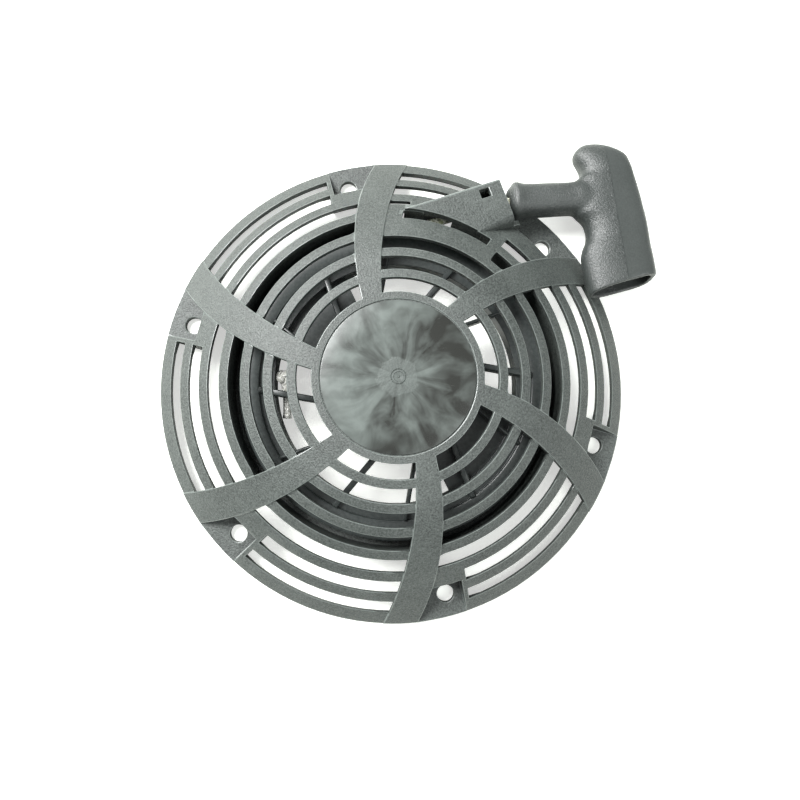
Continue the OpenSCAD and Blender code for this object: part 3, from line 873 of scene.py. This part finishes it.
def buildChute():
    o = outletSizes
    bm = bmesh.new()
    prism(bm, chuteOutline(o["lowV"], o["highV"], o["backR"], o["frontU"]), o["lowZ"], o["roof"])
    bmesh.ops.remove_doubles(bm, verts=bm.verts, dist=0.004)
    bmesh.ops.recalc_face_normals(bm, faces=bm.faces)
    for vert in bm.verts:   # the roof climbs a little towards its tip
        if vert.co.z > o["roof"] - 1:
            vert.co.z -= o["climb"] * ((vert.co - eye).dot(chuteDir) - o["frontU"])
    for beside, size, segments in ((o["lowV"], 5.0, 7), (o["highV"], 1.1, 3)):
        bmesh.ops.bevel(bm, geom=roofEdges(bm, beside), offset=size, segments=segments, profile=0.5,
                        affect="EDGES")
    chute = storeMesh(bm, "housingChute")
    inside = bmesh.new()
    insideOutline = chuteOutline(o["lowV"] + o["wall"], o["highV"] - o["wall"], o["backR"] + 2.0, -4.2)
    prism(inside, insideOutline, -1.0, o["roof"] - 2.4)
    cutWith(chute, storeMesh(inside, "cutter"))
    cutWith(chute, boxCutter(-60, -20, -3.2, 5.6, -1, 20.6))   # the rope comes in here
    cutWith(chute, boxCutter(-12.8, -8.2, 1.4, 5.4, 18, 26))   # small square window in the roof
    cutWith(chute, rodCutter(chutePoint(-8, 0, o["ropeZ"]), o["turn"], o["boreR"], 12))
    return joinPieces(chute, buildLip())


def buildLip():
    # short upright beside the mouth, rounded at its front
    backU, frontU, lowV, highV, top = -3, 2.4, -12.9, -10.7, 17
    lip = bmesh.new()
    prism(lip, [chutePoint(u, v).to_2d() for u, v in
                ((backU, lowV), (frontU, lowV), (frontU, highV), (backU, highV))], 1.0, top)
    bmesh.ops.remove_doubles(lip, verts=lip.verts, dist=0.004)
    front = [e for e in lip.edges if all(abs(v.co.z - top) < 0.1 for v in e.verts)
             and abs(((e.verts[0].co + e.verts[1].co) / 2 - eye).dot(chuteDir) - frontU) < 0.1]
    bmesh.ops.bevel(lip, geom=front, offset=3.6, segments=6, profile=0.5, affect="EDGES")
    return storeMesh(lip, "housingLip")


guardSizes = {"inR": 70.4, "outR": 73.0, "low": 6.0, "start": 103, "sweep": 310, "underDome": 1.2,
              "ledgeIn": 64.0, "ledgeOut": 72.6, "ledgeTop": 8.0, "ledgeStart": 84, "ledgeSweep": 344}


def buildGuardWall():
    g = guardSizes
    bm = bmesh.new()
    turnProfile(bm, [(g["inR"], g["low"]), (g["outR"], g["low"]),
                     (g["outR"], dome(g["outR"]) - g["underDome"]),
                     (g["inR"], dome(g["inR"]) - g["underDome"])], 155, g["start"], g["sweep"])
    turnProfile(bm, [(g["ledgeIn"], g["low"]), (g["ledgeOut"], g["low"]),
                     (g["ledgeOut"], g["ledgeTop"]), (g["ledgeIn"], g["ledgeTop"])],
                172, g["ledgeStart"], g["ledgeSweep"])
    return storeMesh(bm, "housingGuard")


def buildPost():
    # centre post, stepped for the reel bush, with the bore for the threaded insert
    post = bmesh.new()
    turnProfile(post, [(3.2, 3.6), (6.5, 3.6), (6.5, 6.5), (9.5, 6.5), (9.5, 34.8), (9.5, 35.4),
                       (0.0, 35.4), (0.0, 24.0), (4.5, 24.0), (4.5, 8.0), (3.2, 8.0)], 72)
    return storeMesh(post, "housingPost")


housingPaint = {"edgeWidth": 0.32, "sharpAngle": 18, "discZ": 0.0374, "discR": 0.0309,
                "roofZ": 0.022, "roofHighlightBand": 1.2, "roofHighlightLength": 50}


def keepInShell(piece):
    # nothing stands below the flange or past its rim
    hubH, flangeR = shellSizes["hubH"] / 1000, shellSizes["flangeR"] / 1000
    for vert in piece.data.vertices:
        vert.co.z = min(max(vert.co.z, 0.0), hubH)
        reach = vert.co.xy.length
        if reach > flangeR:
            vert.co.xy *= flangeR / reach


def paintHousing(piece):
    # the disc's smooth face, and a painted highlight along the chute's long roof edge
    p = housingPaint
    for poly in piece.data.polygons:
        up = poly.normal.z
        if poly.center.z > p["discZ"] and poly.center.xy.length < p["discR"] and up > 0.3:
            poly.material_index = 1
        # painted highlight: the chute's long roof edge takes the lighter edge material
        fromEye = poly.center * 1000 - eye
        beside = abs(fromEye.dot(chuteSide) - outletSizes["highV"])
        onRoof = poly.center.z > p["roofZ"] and -p["roofHighlightLength"] < fromEye.dot(chuteDir) < 0
        if onRoof and beside < p["roofHighlightBand"] and poly.normal.dot(chuteSide) > 0.2 and up > 0.2:
            poly.material_index = 2


housing = joinPieces(grille, buildChute(), joinPieces(buildGuardWall(), buildPost()))
housing.name = "moulded_housing"
for finish in (housingPlastic, hubFacePlastic, housingEdgeHighlight):
    housing.data.materials.append(finish)
softenEdges(housing, housingPaint["edgeWidth"], clamp=False)
housing.modifiers[0].material = 2   # the rounding takes the lighter, glossier edge material: a painted highlight along every edge
settle(housing)
keepInShell(housing)
joinPieces(housing, buildHubDisc())
housing.data.attributes.remove(housing.data.attributes["custom_normal"])
housing.data.set_sharp_from_angle(angle=radians(housingPaint["sharpAngle"]))
finishOf = [poly.material_index for poly in housing.data.polygons]
finishPiece(housing, "cover", housingPlastic, "housing_plastic", "housing")
housing.data.materials.append(hubFacePlastic)
housing.data.materials.append(housingEdgeHighlight)
housing.data.polygons.foreach_set("material_index", finishOf)
paintHousing(housing)
print("housing finished")


def newShapeTree(name, inputs):
    tree = bpy.data.node_groups.new(name, "GeometryNodeTree")
    tree.interface.new_socket("Geometry", in_out="INPUT", socket_type="NodeSocketGeometry")
    for label, kind, value in inputs:
        socket = tree.interface.new_socket(label, in_out="INPUT", socket_type=kind)
        if value is not None:
            socket.default_value = value
    tree.interface.new_socket("Geometry", in_out="OUTPUT", socket_type="NodeSocketGeometry")
    board = shaderBoard(tree)
    return board, board.add("NodeGroupInput").outputs, board.add("NodeGroupOutput").inputs


def endTree(board, shape, given, out):
    real = board.add("GeometryNodeRealizeInstances")
    paint = board.add("GeometryNodeSetMaterial")
    board.link(shape, real.inputs[0])
    board.link(real.outputs[0], paint.inputs["Geometry"])
    board.link(given["Finish"], paint.inputs["Material"])
    board.link(paint.outputs[0], out[0])
    return board.tree


def makeRingRepeat():
    # copies the piece round the reel axis
    board, given, out = newShapeTree("ringRepeat", [
        ("Count", "NodeSocketInt", 6), ("First Angle", "NodeSocketFloat", 0.0),
        ("Step Angle", "NodeSocketFloat", 1.0), ("Finish", "NodeSocketMaterial", None)])
    line = board.add("GeometryNodeMeshLine")
    board.link(given["Count"], line.inputs["Count"])
    line.inputs["Offset"].default_value = (0, 0, 0)
    index = board.add("GeometryNodeInputIndex").outputs[0]
    angle = board.sum("MULTIPLY_ADD", index, given["Step Angle"], given["First Angle"])
    turn = board.add("ShaderNodeCombineXYZ")
    board.link(angle, turn.inputs[2])
    place = board.add("GeometryNodeInstanceOnPoints")
    board.link(line.outputs[0], place.inputs["Points"])
    board.link(given["Geometry"], place.inputs["Instance"])
    board.link(turn.outputs[0], place.inputs["Rotation"])
    return endTree(board, place.outputs[0], given, out)


def makeCoil():
    # round wire wound into a coil; its straight legs are added later
    board, given, out = newShapeTree("wireCoil", [
        ("Turns", "NodeSocketFloat", 3.0), ("Coil Radius", "NodeSocketFloat", 0.004),
        ("Height", "NodeSocketFloat", 0.002), ("Wire Radius", "NodeSocketFloat", 0.0004),
        ("Place", "NodeSocketVector", (0, 0, 0)), ("Finish", "NodeSocketMaterial", None)])
    spiral = board.add("GeometryNodeCurveSpiral")
    spiral.inputs["Resolution"].default_value = 32
    board.link(given["Turns"], spiral.inputs["Rotations"])
    board.link(given["Coil Radius"], spiral.inputs["Start Radius"])
    board.link(given["Coil Radius"], spiral.inputs["End Radius"])
    board.link(given["Height"], spiral.inputs["Height"])
    ring = board.add("GeometryNodeCurvePrimitiveCircle")
    ring.inputs["Resolution"].default_value = 10
    board.link(given["Wire Radius"], ring.inputs["Radius"])
    sweep = board.add("GeometryNodeCurveToMesh")
    board.link(spiral.outputs[0], sweep.inputs["Curve"])
    board.link(ring.outputs[0], sweep.inputs["Profile Curve"])
    sweep.inputs["Fill Caps"].default_value = True
    move = board.add("GeometryNodeTransform")
    board.link(sweep.outputs[0], move.inputs["Geometry"])
    board.link(given["Place"], move.inputs["Translation"])
    return endTree(board, move.outputs[0], given, out)


def growPiece(piece, tree, **values):
    grow = piece.modifiers.new("grow", "NODES")
    grow.node_group = tree
    for socket in tree.interface.items_tree:
        label = socket.name.replace(" ", "_")
        if socket.in_out == "INPUT" and label in values:
            grow[socket.identifier] = values[label]
    settle(piece)
    return piece


ringRepeat = makeRingRepeat()
wireCoil = makeCoil()


# reel: rope groove, deck, spring cup and slanted ribs
reelSizes = {
    "outerR": 67.0, "grooveR": 54.0, "innerR": 52.0, "ringR": 58.5, "cupR": 31.0, "cupWall": 2.0,
    "ribFirst": 17.0, "ribSlant": 27.0, "ribIn": 29.7, "ribLength": 30.6, "ribLow": 13.0,
    "ribTop": 19.6, "wideRib": 2.6, "thinRib": 1.6, "webStarts": (116, 296), "webSweep": 50,
    "bossAt": 21, "knotDir": 177.0,
}


def buildRib(width):
    r = reelSizes
    bm = bmesh.new()
    turn = Matrix.Rotation(radians(-r["ribSlant"]), 3, "Z")
    corners = [turn @ Vector((x, y, 0)) for x, y in
               ((0, -width / 2), (r["ribLength"], -width / 2), (r["ribLength"], width / 2), (0, width / 2))]
    prism(bm, [(c.x + r["ribIn"], c.y) for c in corners], r["ribLow"], r["ribTop"])
    bmesh.ops.remove_doubles(bm, verts=bm.verts, dist=0.004)
    top = [e for e in bm.edges if all(v.co.z > 19 for v in e.verts)]
    bmesh.ops.bevel(bm, geom=top, offset=0.5, segments=2, profile=0.5, affect="EDGES")
    return storeMesh(bm, "reelRib")


def buildReel():
    r = reelSizes
    cupIn = r["cupR"] - r["cupWall"]
    bm = bmesh.new()
    turnProfile(bm, [(r["innerR"], 8.9), (r["outerR"], 8.9), (r["outerR"], 10.5), (r["grooveR"], 10.5),
                     (r["grooveR"], 15.5), (r["outerR"], 15.5), (r["outerR"], 18.2), (66.2, 18.5),
                     (59.4, 18.5), (r["ringR"], 18.1), (r["ringR"], 17.1), (r["innerR"], 17.1)], 144)
    turnProfile(bm, [(12.0, 7.2), (14.6, 7.2), (14.6, 16.0), (cupIn, 16.0), (cupIn, 12.0),
                     (r["cupR"], 12.0), (r["cupR"], 33.5), (cupIn, 33.5), (cupIn, 19.0), (12.0, 19.0)], 96)
    for first in r["webStarts"]:   # closed stretches of web
        turnProfile(bm, [(30.0, 11.4), (53.0, 11.4), (53.0, 13.2), (30.0, 13.2)], 25, first, r["webSweep"])
    wheel = storeMesh(bm, "reelWheel")
    for at in (90, 270):
        boss = bmesh.new()
        turnProfile(boss, [(2.02, 10.7), (3.4, 10.7), (3.4, 16.4), (2.02, 16.4)], 40)
        bmesh.ops.translate(boss, verts=boss.verts, vec=polar(r["bossAt"], at))
        joinPieces(wheel, storeMesh(boss, "reelBoss"))
    for width, first in ((r["wideRib"], 0), (r["thinRib"], 30)):
        ribs = growPiece(buildRib(width), ringRepeat, Count=6, Step_Angle=radians(60),
                         First_Angle=radians(r["ribFirst"] + first), Finish=reelPlastic)
        joinPieces(wheel, ribs)
    wheel.name = "rope_reel"
    softenEdges(wheel, 0.3)
    return wheel


finishPiece(buildReel(), "reel", reelPlastic, "reel_plastic", "rope_pulley")
print("reel built")


# rope: turns on the reel, the stretch to the handle, and both knots; woundAngle is in degrees
ropeSizes = {
    "strandR": 1.96, "windR": 64.6, "pitch": 4.2, "z": 13.0, "woundAngle": 789.6, "stemDir": 4.0,
    "tailEnd": 44.0, "knotAt": 48.8, "knotSize": 3.9, "knotStrand": 1.55, "freeEnd": (-47.9, -15.0, 8.4),
    "inHandle": 47.5, "handleKnotSize": 4.0, "handleKnotStrand": 1.6,
}
leaveAngle = degrees(atan2(eye.y, eye.x)) + degrees(acos(ropeSizes["windR"] / eye.length))


def knotPath(centre, size, strand, tilt=(0.4, 0.3, 0.2), count=84):
    # overhand knot drawn up tight, a trefoil
    turn = Matrix.Identity(3)
    for angle, axis in zip(tilt, "XYZ"):
        turn = turn @ Matrix.Rotation(angle, 3, axis)
    points = []
    for i in range(count):
        t = 2 * pi * i / count
        p = Vector((sin(t) + 2 * sin(2 * t), cos(t) - 2 * cos(2 * t), -1.25 * sin(3 * t)))
        points.append(Vector(centre) + turn @ (p * (size - strand) / 3))
    return points


def straightPath(start, end, step=1.2):
    count = max(2, int((end - start).length / step))
    return [start.lerp(end, i / count) for i in range(count + 1)]


def windRope():
    s, step = ropeSizes, 6
    count = int(s["woundAngle"] / step)
    wound = []
    for i in range(count + 1):
        swept = s["woundAngle"] * i / count
        wound.append(polar(s["windR"] - s["pitch"] * swept / 360, leaveAngle + swept, s["z"]))
    finishPiece(tubeAlong("wound_rope", wound, s["strandR"], 12), "reel", ropeBraid, "rope", "rope_winding")


def tieReelKnot():
    s, knotDir = ropeSizes, reelSizes["knotDir"]
    centre, freeEnd = polar(s["knotAt"], knotDir, s["z"]), Vector(s["freeEnd"])
    knot = tubeAlong("reelKnot", knotPath(centre, s["knotSize"], s["knotStrand"]), s["knotStrand"], 12,
                     closed=True)
    neck = tubeAlong("reelKnotNeck", straightPath(centre, polar(53.6, knotDir, s["z"])), 1.9, 12)
    stray = []
    for i in range(19):   # the free end sags a little
        t = i / 18
        stray.append(centre.lerp(freeEnd, t) + Vector((0.5 * sin(pi * t), 0, -0.6 * sin(pi * t))))
    tail = tubeAlong("reelKnotTail", stray, lambda t: 1.75 + 0.15 * (t > 0.9), 12)
    joinPieces(knot, neck, tail).name = "reel_knot"
    finishPiece(knot, "reel", sealedRope, "rope", "pulley_knot")


def runPullRope(mouth, stem):
    s = ropeSizes
    start = polar(s["windR"], leaveAngle, s["z"])
    bendIn, bendOut = mouth + (start - mouth).normalized() * 3, mouth + stem * 3
    route = straightPath(start + (mouth - start).normalized() * 0.4, bendIn)
    route += [bendIn.lerp(mouth, t).lerp(mouth.lerp(bendOut, t), t) for t in (0.25, 0.5, 0.75)]
    route += straightPath(bendOut, mouth + stem * s["tailEnd"])
    pull = tubeAlong("pull_rope", route, s["strandR"], 14)
    finishPiece(pull, None, ropeBraid, "rope", "rope_lead", "rope_tail")
    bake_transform(pull)


def tieHandleKnot(place):
    s = ropeSizes
    path = knotPath(place, s["handleKnotSize"], s["handleKnotStrand"], (0.2, 1.3, 0.5))
    knot = tubeAlong("handle_rope_knot", path, s["handleKnotStrand"], 12, closed=True)
    finishPiece(knot, "handle", ropeBraid, "rope", "handle_knot")


windRope()
tieReelKnot()
ropeMouth = Vector((eye.x, eye.y, ropeSizes["z"]))
ropeStem = polar(1, ropeSizes["stemDir"])
runPullRope(ropeMouth, ropeStem)
tieHandleKnot(ropeMouth + ropeStem * ropeSizes["inHandle"])
print("rope and knots built")


# pull handle: lofted grip with a hollow lower end, and its stem
gripSizes = {
    # (distance along the grip, finger side, palm side, half thickness)
    "stations": [
        (25.1, 40.0, 42.6, 0.9), (24.8, 38.0, 45.0, 2.4), (24.0, 36.4, 47.6, 3.7),
        (22.4, 34.6, 51.2, 5.1), (20.0, 33.2, 55.2, 6.3), (17.6, 33.6, 57.6, 7.1),
        (14.6, 35.3, 58.4, 7.7), (11.5, 36.3, 59.2, 8.0), (9.4, 35.6, 59.6, 8.0),
        (7.8, 32.6, 60.0, 8.0), (4.0, 31.2, 60.8, 8.0), (-2.0, 30.8, 61.9, 8.0),
        (-6.5, 31.0, 62.5, 8.0), (-8.6, 32.0, 62.8, 8.0), (-10.4, 34.2, 63.0, 8.0),
        (-13.0, 35.7, 63.3, 8.0), (-17.0, 36.3, 63.6, 8.0), (-20.5, 35.8, 63.8, 8.0),
        (-24.0, 33.8, 64.0, 8.0), (-28.0, 32.7, 64.3, 8.0), (-33.0, 33.3, 64.7, 8.0),
        (-38.5, 34.0, 64.9, 8.0), (-43.0, 34.6, 65.1, 8.0), (-45.3, 35.0, 65.1, 7.9)],
    "endSlant": 12.0, "wall": 1.8, "hollowTop": 2.0, "voxel": 0.55, "meltSteps": 26,
    # (radius, distance from the mouth)
    "root": [(0.0, 14.0), (7.4, 14.0), (7.4, 30.0), (7.8, 34.0), (7.6, 38.4), (0.0, 38.4)],
    "stem": [(0.0, 8.0), (2.5, 8.0), (2.5, 1.6), (5.0, 1.3), (5.6, 1.5), (8.2, 3.6), (8.45, 4.2),
             (8.4, 5.4), (7.9, 7.2), (7.6, 9.0), (7.45, 12.0), (7.4, 22.0), (0.0, 22.0)],
}


def gripPoint(along, across, height):
    turned = Matrix.Rotation(radians(ropeSizes["stemDir"]), 3, "Z") @ Vector((along, across, 0))
    return Vector((eye.x + turned.x, eye.y + turned.y, ropeSizes["z"] + height))


def gripRing(bm, v, low, high, half, slant, around=44):
    ring = []
    centre, reach = (low + high) / 2, (high - low) / 2
    for k in range(around):
        c, s = cos(2 * pi * k / around), sin(2 * pi * k / around)
        power = 0.42 if c > 0 else 0.86
        x = centre + reach * (abs(c) ** power) * (1 if c > 0 else -1)
        z = half * (abs(s) ** (0.62 if c > 0 else 0.80)) * (1 if s > 0 else -1)
        ring.append(bm.verts.new(gripPoint(x, v + slant * (x - 36) + 0.75 * slant * z, z)))
    return ring


def slantAt(v):
    return smoothStep(-v, 22.0, 44.0) * sin(radians(gripSizes["endSlant"]))


def buildGripBody():
    g, wall = gripSizes, gripSizes["wall"]
    bm = bmesh.new()
    rings = [gripRing(bm, v, low, high, half, slantAt(v)) for v, low, high, half in g["stations"]]
    for v, low, high, half in reversed(g["stations"]):
        if v > g["hollowTop"]:
            break
        ease = 1.8 * smoothStep(v, -40.0, 2.0)   # the hollow narrows as it goes up
        rings.append(gripRing(bm, v, max(low, 33.5) + wall + ease, high - wall - 0.6 - ease,
                              half - wall - ease * 0.3, slantAt(v)))
    for a, b in zip(rings, rings[1:]):
        for k in range(len(a)):
            m = (k + 1) % len(a)
            bm.faces.new([a[k], a[m], b[m], b[k]])
    bm.faces.new(rings[0])
    bm.faces.new(rings[-1])
    return storeMesh(bm, "gripBody", merge=0)


def buildStem(name, profile):
    bm = bmesh.new()
    addStem(bm, profile)
    return storeMesh(bm, name)


def buildGrip():
    g = gripSizes
    grip = joinPieces(buildGripBody(), buildStem("gripRoot", g["root"]))
    remesh = grip.modifiers.new("skin", "REMESH")
    remesh.mode = "VOXEL"
    remesh.voxel_size = g["voxel"] / 1000
    remesh.use_smooth_shade = True
    settle(grip)
    # melt the webs together, but keep the open end crisp
    group = grip.vertex_groups.new(name="melt")
    for vert in grip.data.vertices:
        across = (vert.co * 1000 - eye).dot(polar(1, ropeSizes["stemDir"] + 90))
        group.add([vert.index], 0.1 + 0.9 * smoothStep(across, -38.0, -26.0), "REPLACE")
    ease = grip.modifiers.new("ease", "SMOOTH")
    ease.factor = 0.5
    ease.iterations = g["meltSteps"]
    ease.vertex_group = "melt"
    settle(grip)
    # the stem stands a hair proud of the melted root
    joinPieces(grip, buildStem("gripStem", [(r * 1.004, x) for r, x in g["stem"]]))
    grip.data.polygons.foreach_set("use_smooth", [True] * len(grip.data.polygons))
    grip.data.set_sharp_from_angle(angle=radians(50))
    grip.name = "pull_grip"
    return grip


def addStem(bm, profile, around=64):
    # profile of (radius, distance) turned about the stem, slightly squared
    for k in range(around):
        for (r0, x0), (r1, x1) in zip(profile, profile[1:]):
            quad = []
            for r, x, m in ((r0, x0, k), (r0, x0, k + 1), (r1, x1, k + 1), (r1, x1, k)):
                a = 2 * pi * m / around
                square = 1 - 0.035 * cos(4 * a)
                quad.append(gripPoint(x, r * cos(a) * square, r * sin(a) * square))
            face(bm, quad)


finishPiece(buildGrip(), "handle", handlePlastic, "handle_plastic", "handle_grip")
print("handle built")


# pawl springs: a coil and two legs each
coilSizes = {"radius": 4.0, "wire": 0.42, "turns": 3.0, "height": 1.9, "low": 12.0, "at": 21.0,
             "legs": ((13.8, -1, 4.0, 125), (12.2, 1, 6.0, -90)), "legR": 0.4}


def buildPawlSpring(name, at):
    c = coilSizes
    seed = storeMesh(bmesh.new(), "torsion_" + name[-1])
    coil = growPiece(seed, wireCoil, Turns=c["turns"], Coil_Radius=c["radius"] / 1000,
                     Height=c["height"] / 1000, Wire_Radius=c["wire"] / 1000,
                     Place=polar(c["at"], at, c["low"]) * 0.001, Finish=springSteel)
    legs = []
    for z, side, length, turn in c["legs"]:
        foot = polar(c["at"] + c["radius"] * side, at, z)
        legs.append(tubeAlong("leg", straightPath(foot, foot + polar(length, at + turn)), c["legR"], 10))
    joinPieces(coil, *legs)
    coil.data.polygons.foreach_set("use_smooth", [True] * len(coil.data.polygons))
    finishPiece(coil, "reel", springSteel, "spring_steel", name)


buildPawlSpring("pawl_spring_a", 90)
buildPawlSpring("pawl_spring_b", 270)

smallParts = {
    "threaded_insert": brassFinish, "rope_eyelet": brightSteel, "centre_screw": brightSteel,
    "screw_washer": brightSteel, "recoil_spring": springSteel, "pulley_bush": bushPlastic,
    "pawl_pin_a": pawlSteel, "pawl_pin_b": pawlSteel, "pawl_a": pawlSteel, "pawl_b": pawlSteel,
    "pawl_guide": guidePlastic, "friction_spring": springSteel, "handle_washer": brightSteel,
}
for name, finish in smallParts.items():
    nodes[name].data.materials.clear()
    nodes[name].data.materials.append(finish)
print("small parts finished")


# floor and light
studioSizes = {"floorSize": 6.0, "floorGlow": 0.52, "keyPower": 42.0, "fillPower": 8.0, "sky": 0.48}


def addFloor():
    bm = bmesh.new()
    half = studioSizes["floorSize"] * 500
    face(bm, [(-half, -half, -0.4), (half, -half, -0.4), (half, half, -0.4), (-half, half, -0.4)])
    floor = storeMesh(bm, "paleFloor", recalc=False)
    material, board, shader = startMaterial("paleFloorPaint")
    where = board.add("ShaderNodeTexCoord").outputs["Object"]
    shade = board.blend(board.noise(where, 3.0, 2.0), (0.77, 0.80, 0.745, 1), (0.80, 0.83, 0.775, 1))
    board.link(shade, shader["Base Color"])
    shader["Roughness"].default_value = 0.75
    shader["Emission Color"].default_value = (1.0, 1.0, 0.985, 1)
    seen = board.add("ShaderNodeLightPath").outputs["Is Camera Ray"]
    board.link(board.sum("MULTIPLY", seen, studioSizes["floorGlow"]), shader["Emission Strength"])
    floor.data.materials.append(material)


def addSoftLight(name, place, aim, size, power, tone=(1, 1, 1)):
    data = bpy.data.lights.new(name, "AREA")
    data.shape = "DISK"
    data.size = size
    data.energy = power
    data.color = tone
    lamp = bpy.data.objects.new(name, data)
    lamp.location = place
    lamp.rotation_euler = (Vector(aim) - Vector(place)).to_track_quat("-Z", "Y").to_euler()
    scene.collection.objects.link(lamp)


addFloor()
addSoftLight("keyLight", (-0.62, 0.50, 0.85), (0, 0, 0), 0.7, studioSizes["keyPower"])
addSoftLight("fillLight", (0.7, -0.5, 0.9), (0, 0, 0), 0.9, studioSizes["fillPower"], (0.97, 1, 0.99))
world = bpy.data.worlds.new("studioAir")
world.use_nodes = True
world.node_tree.nodes["Background"].inputs[0].default_value = (0.98, 1.0, 0.99, 1)
world.node_tree.nodes["Background"].inputs[1].default_value = studioSizes["sky"]
scene.world = world
print("floor and lights placed")

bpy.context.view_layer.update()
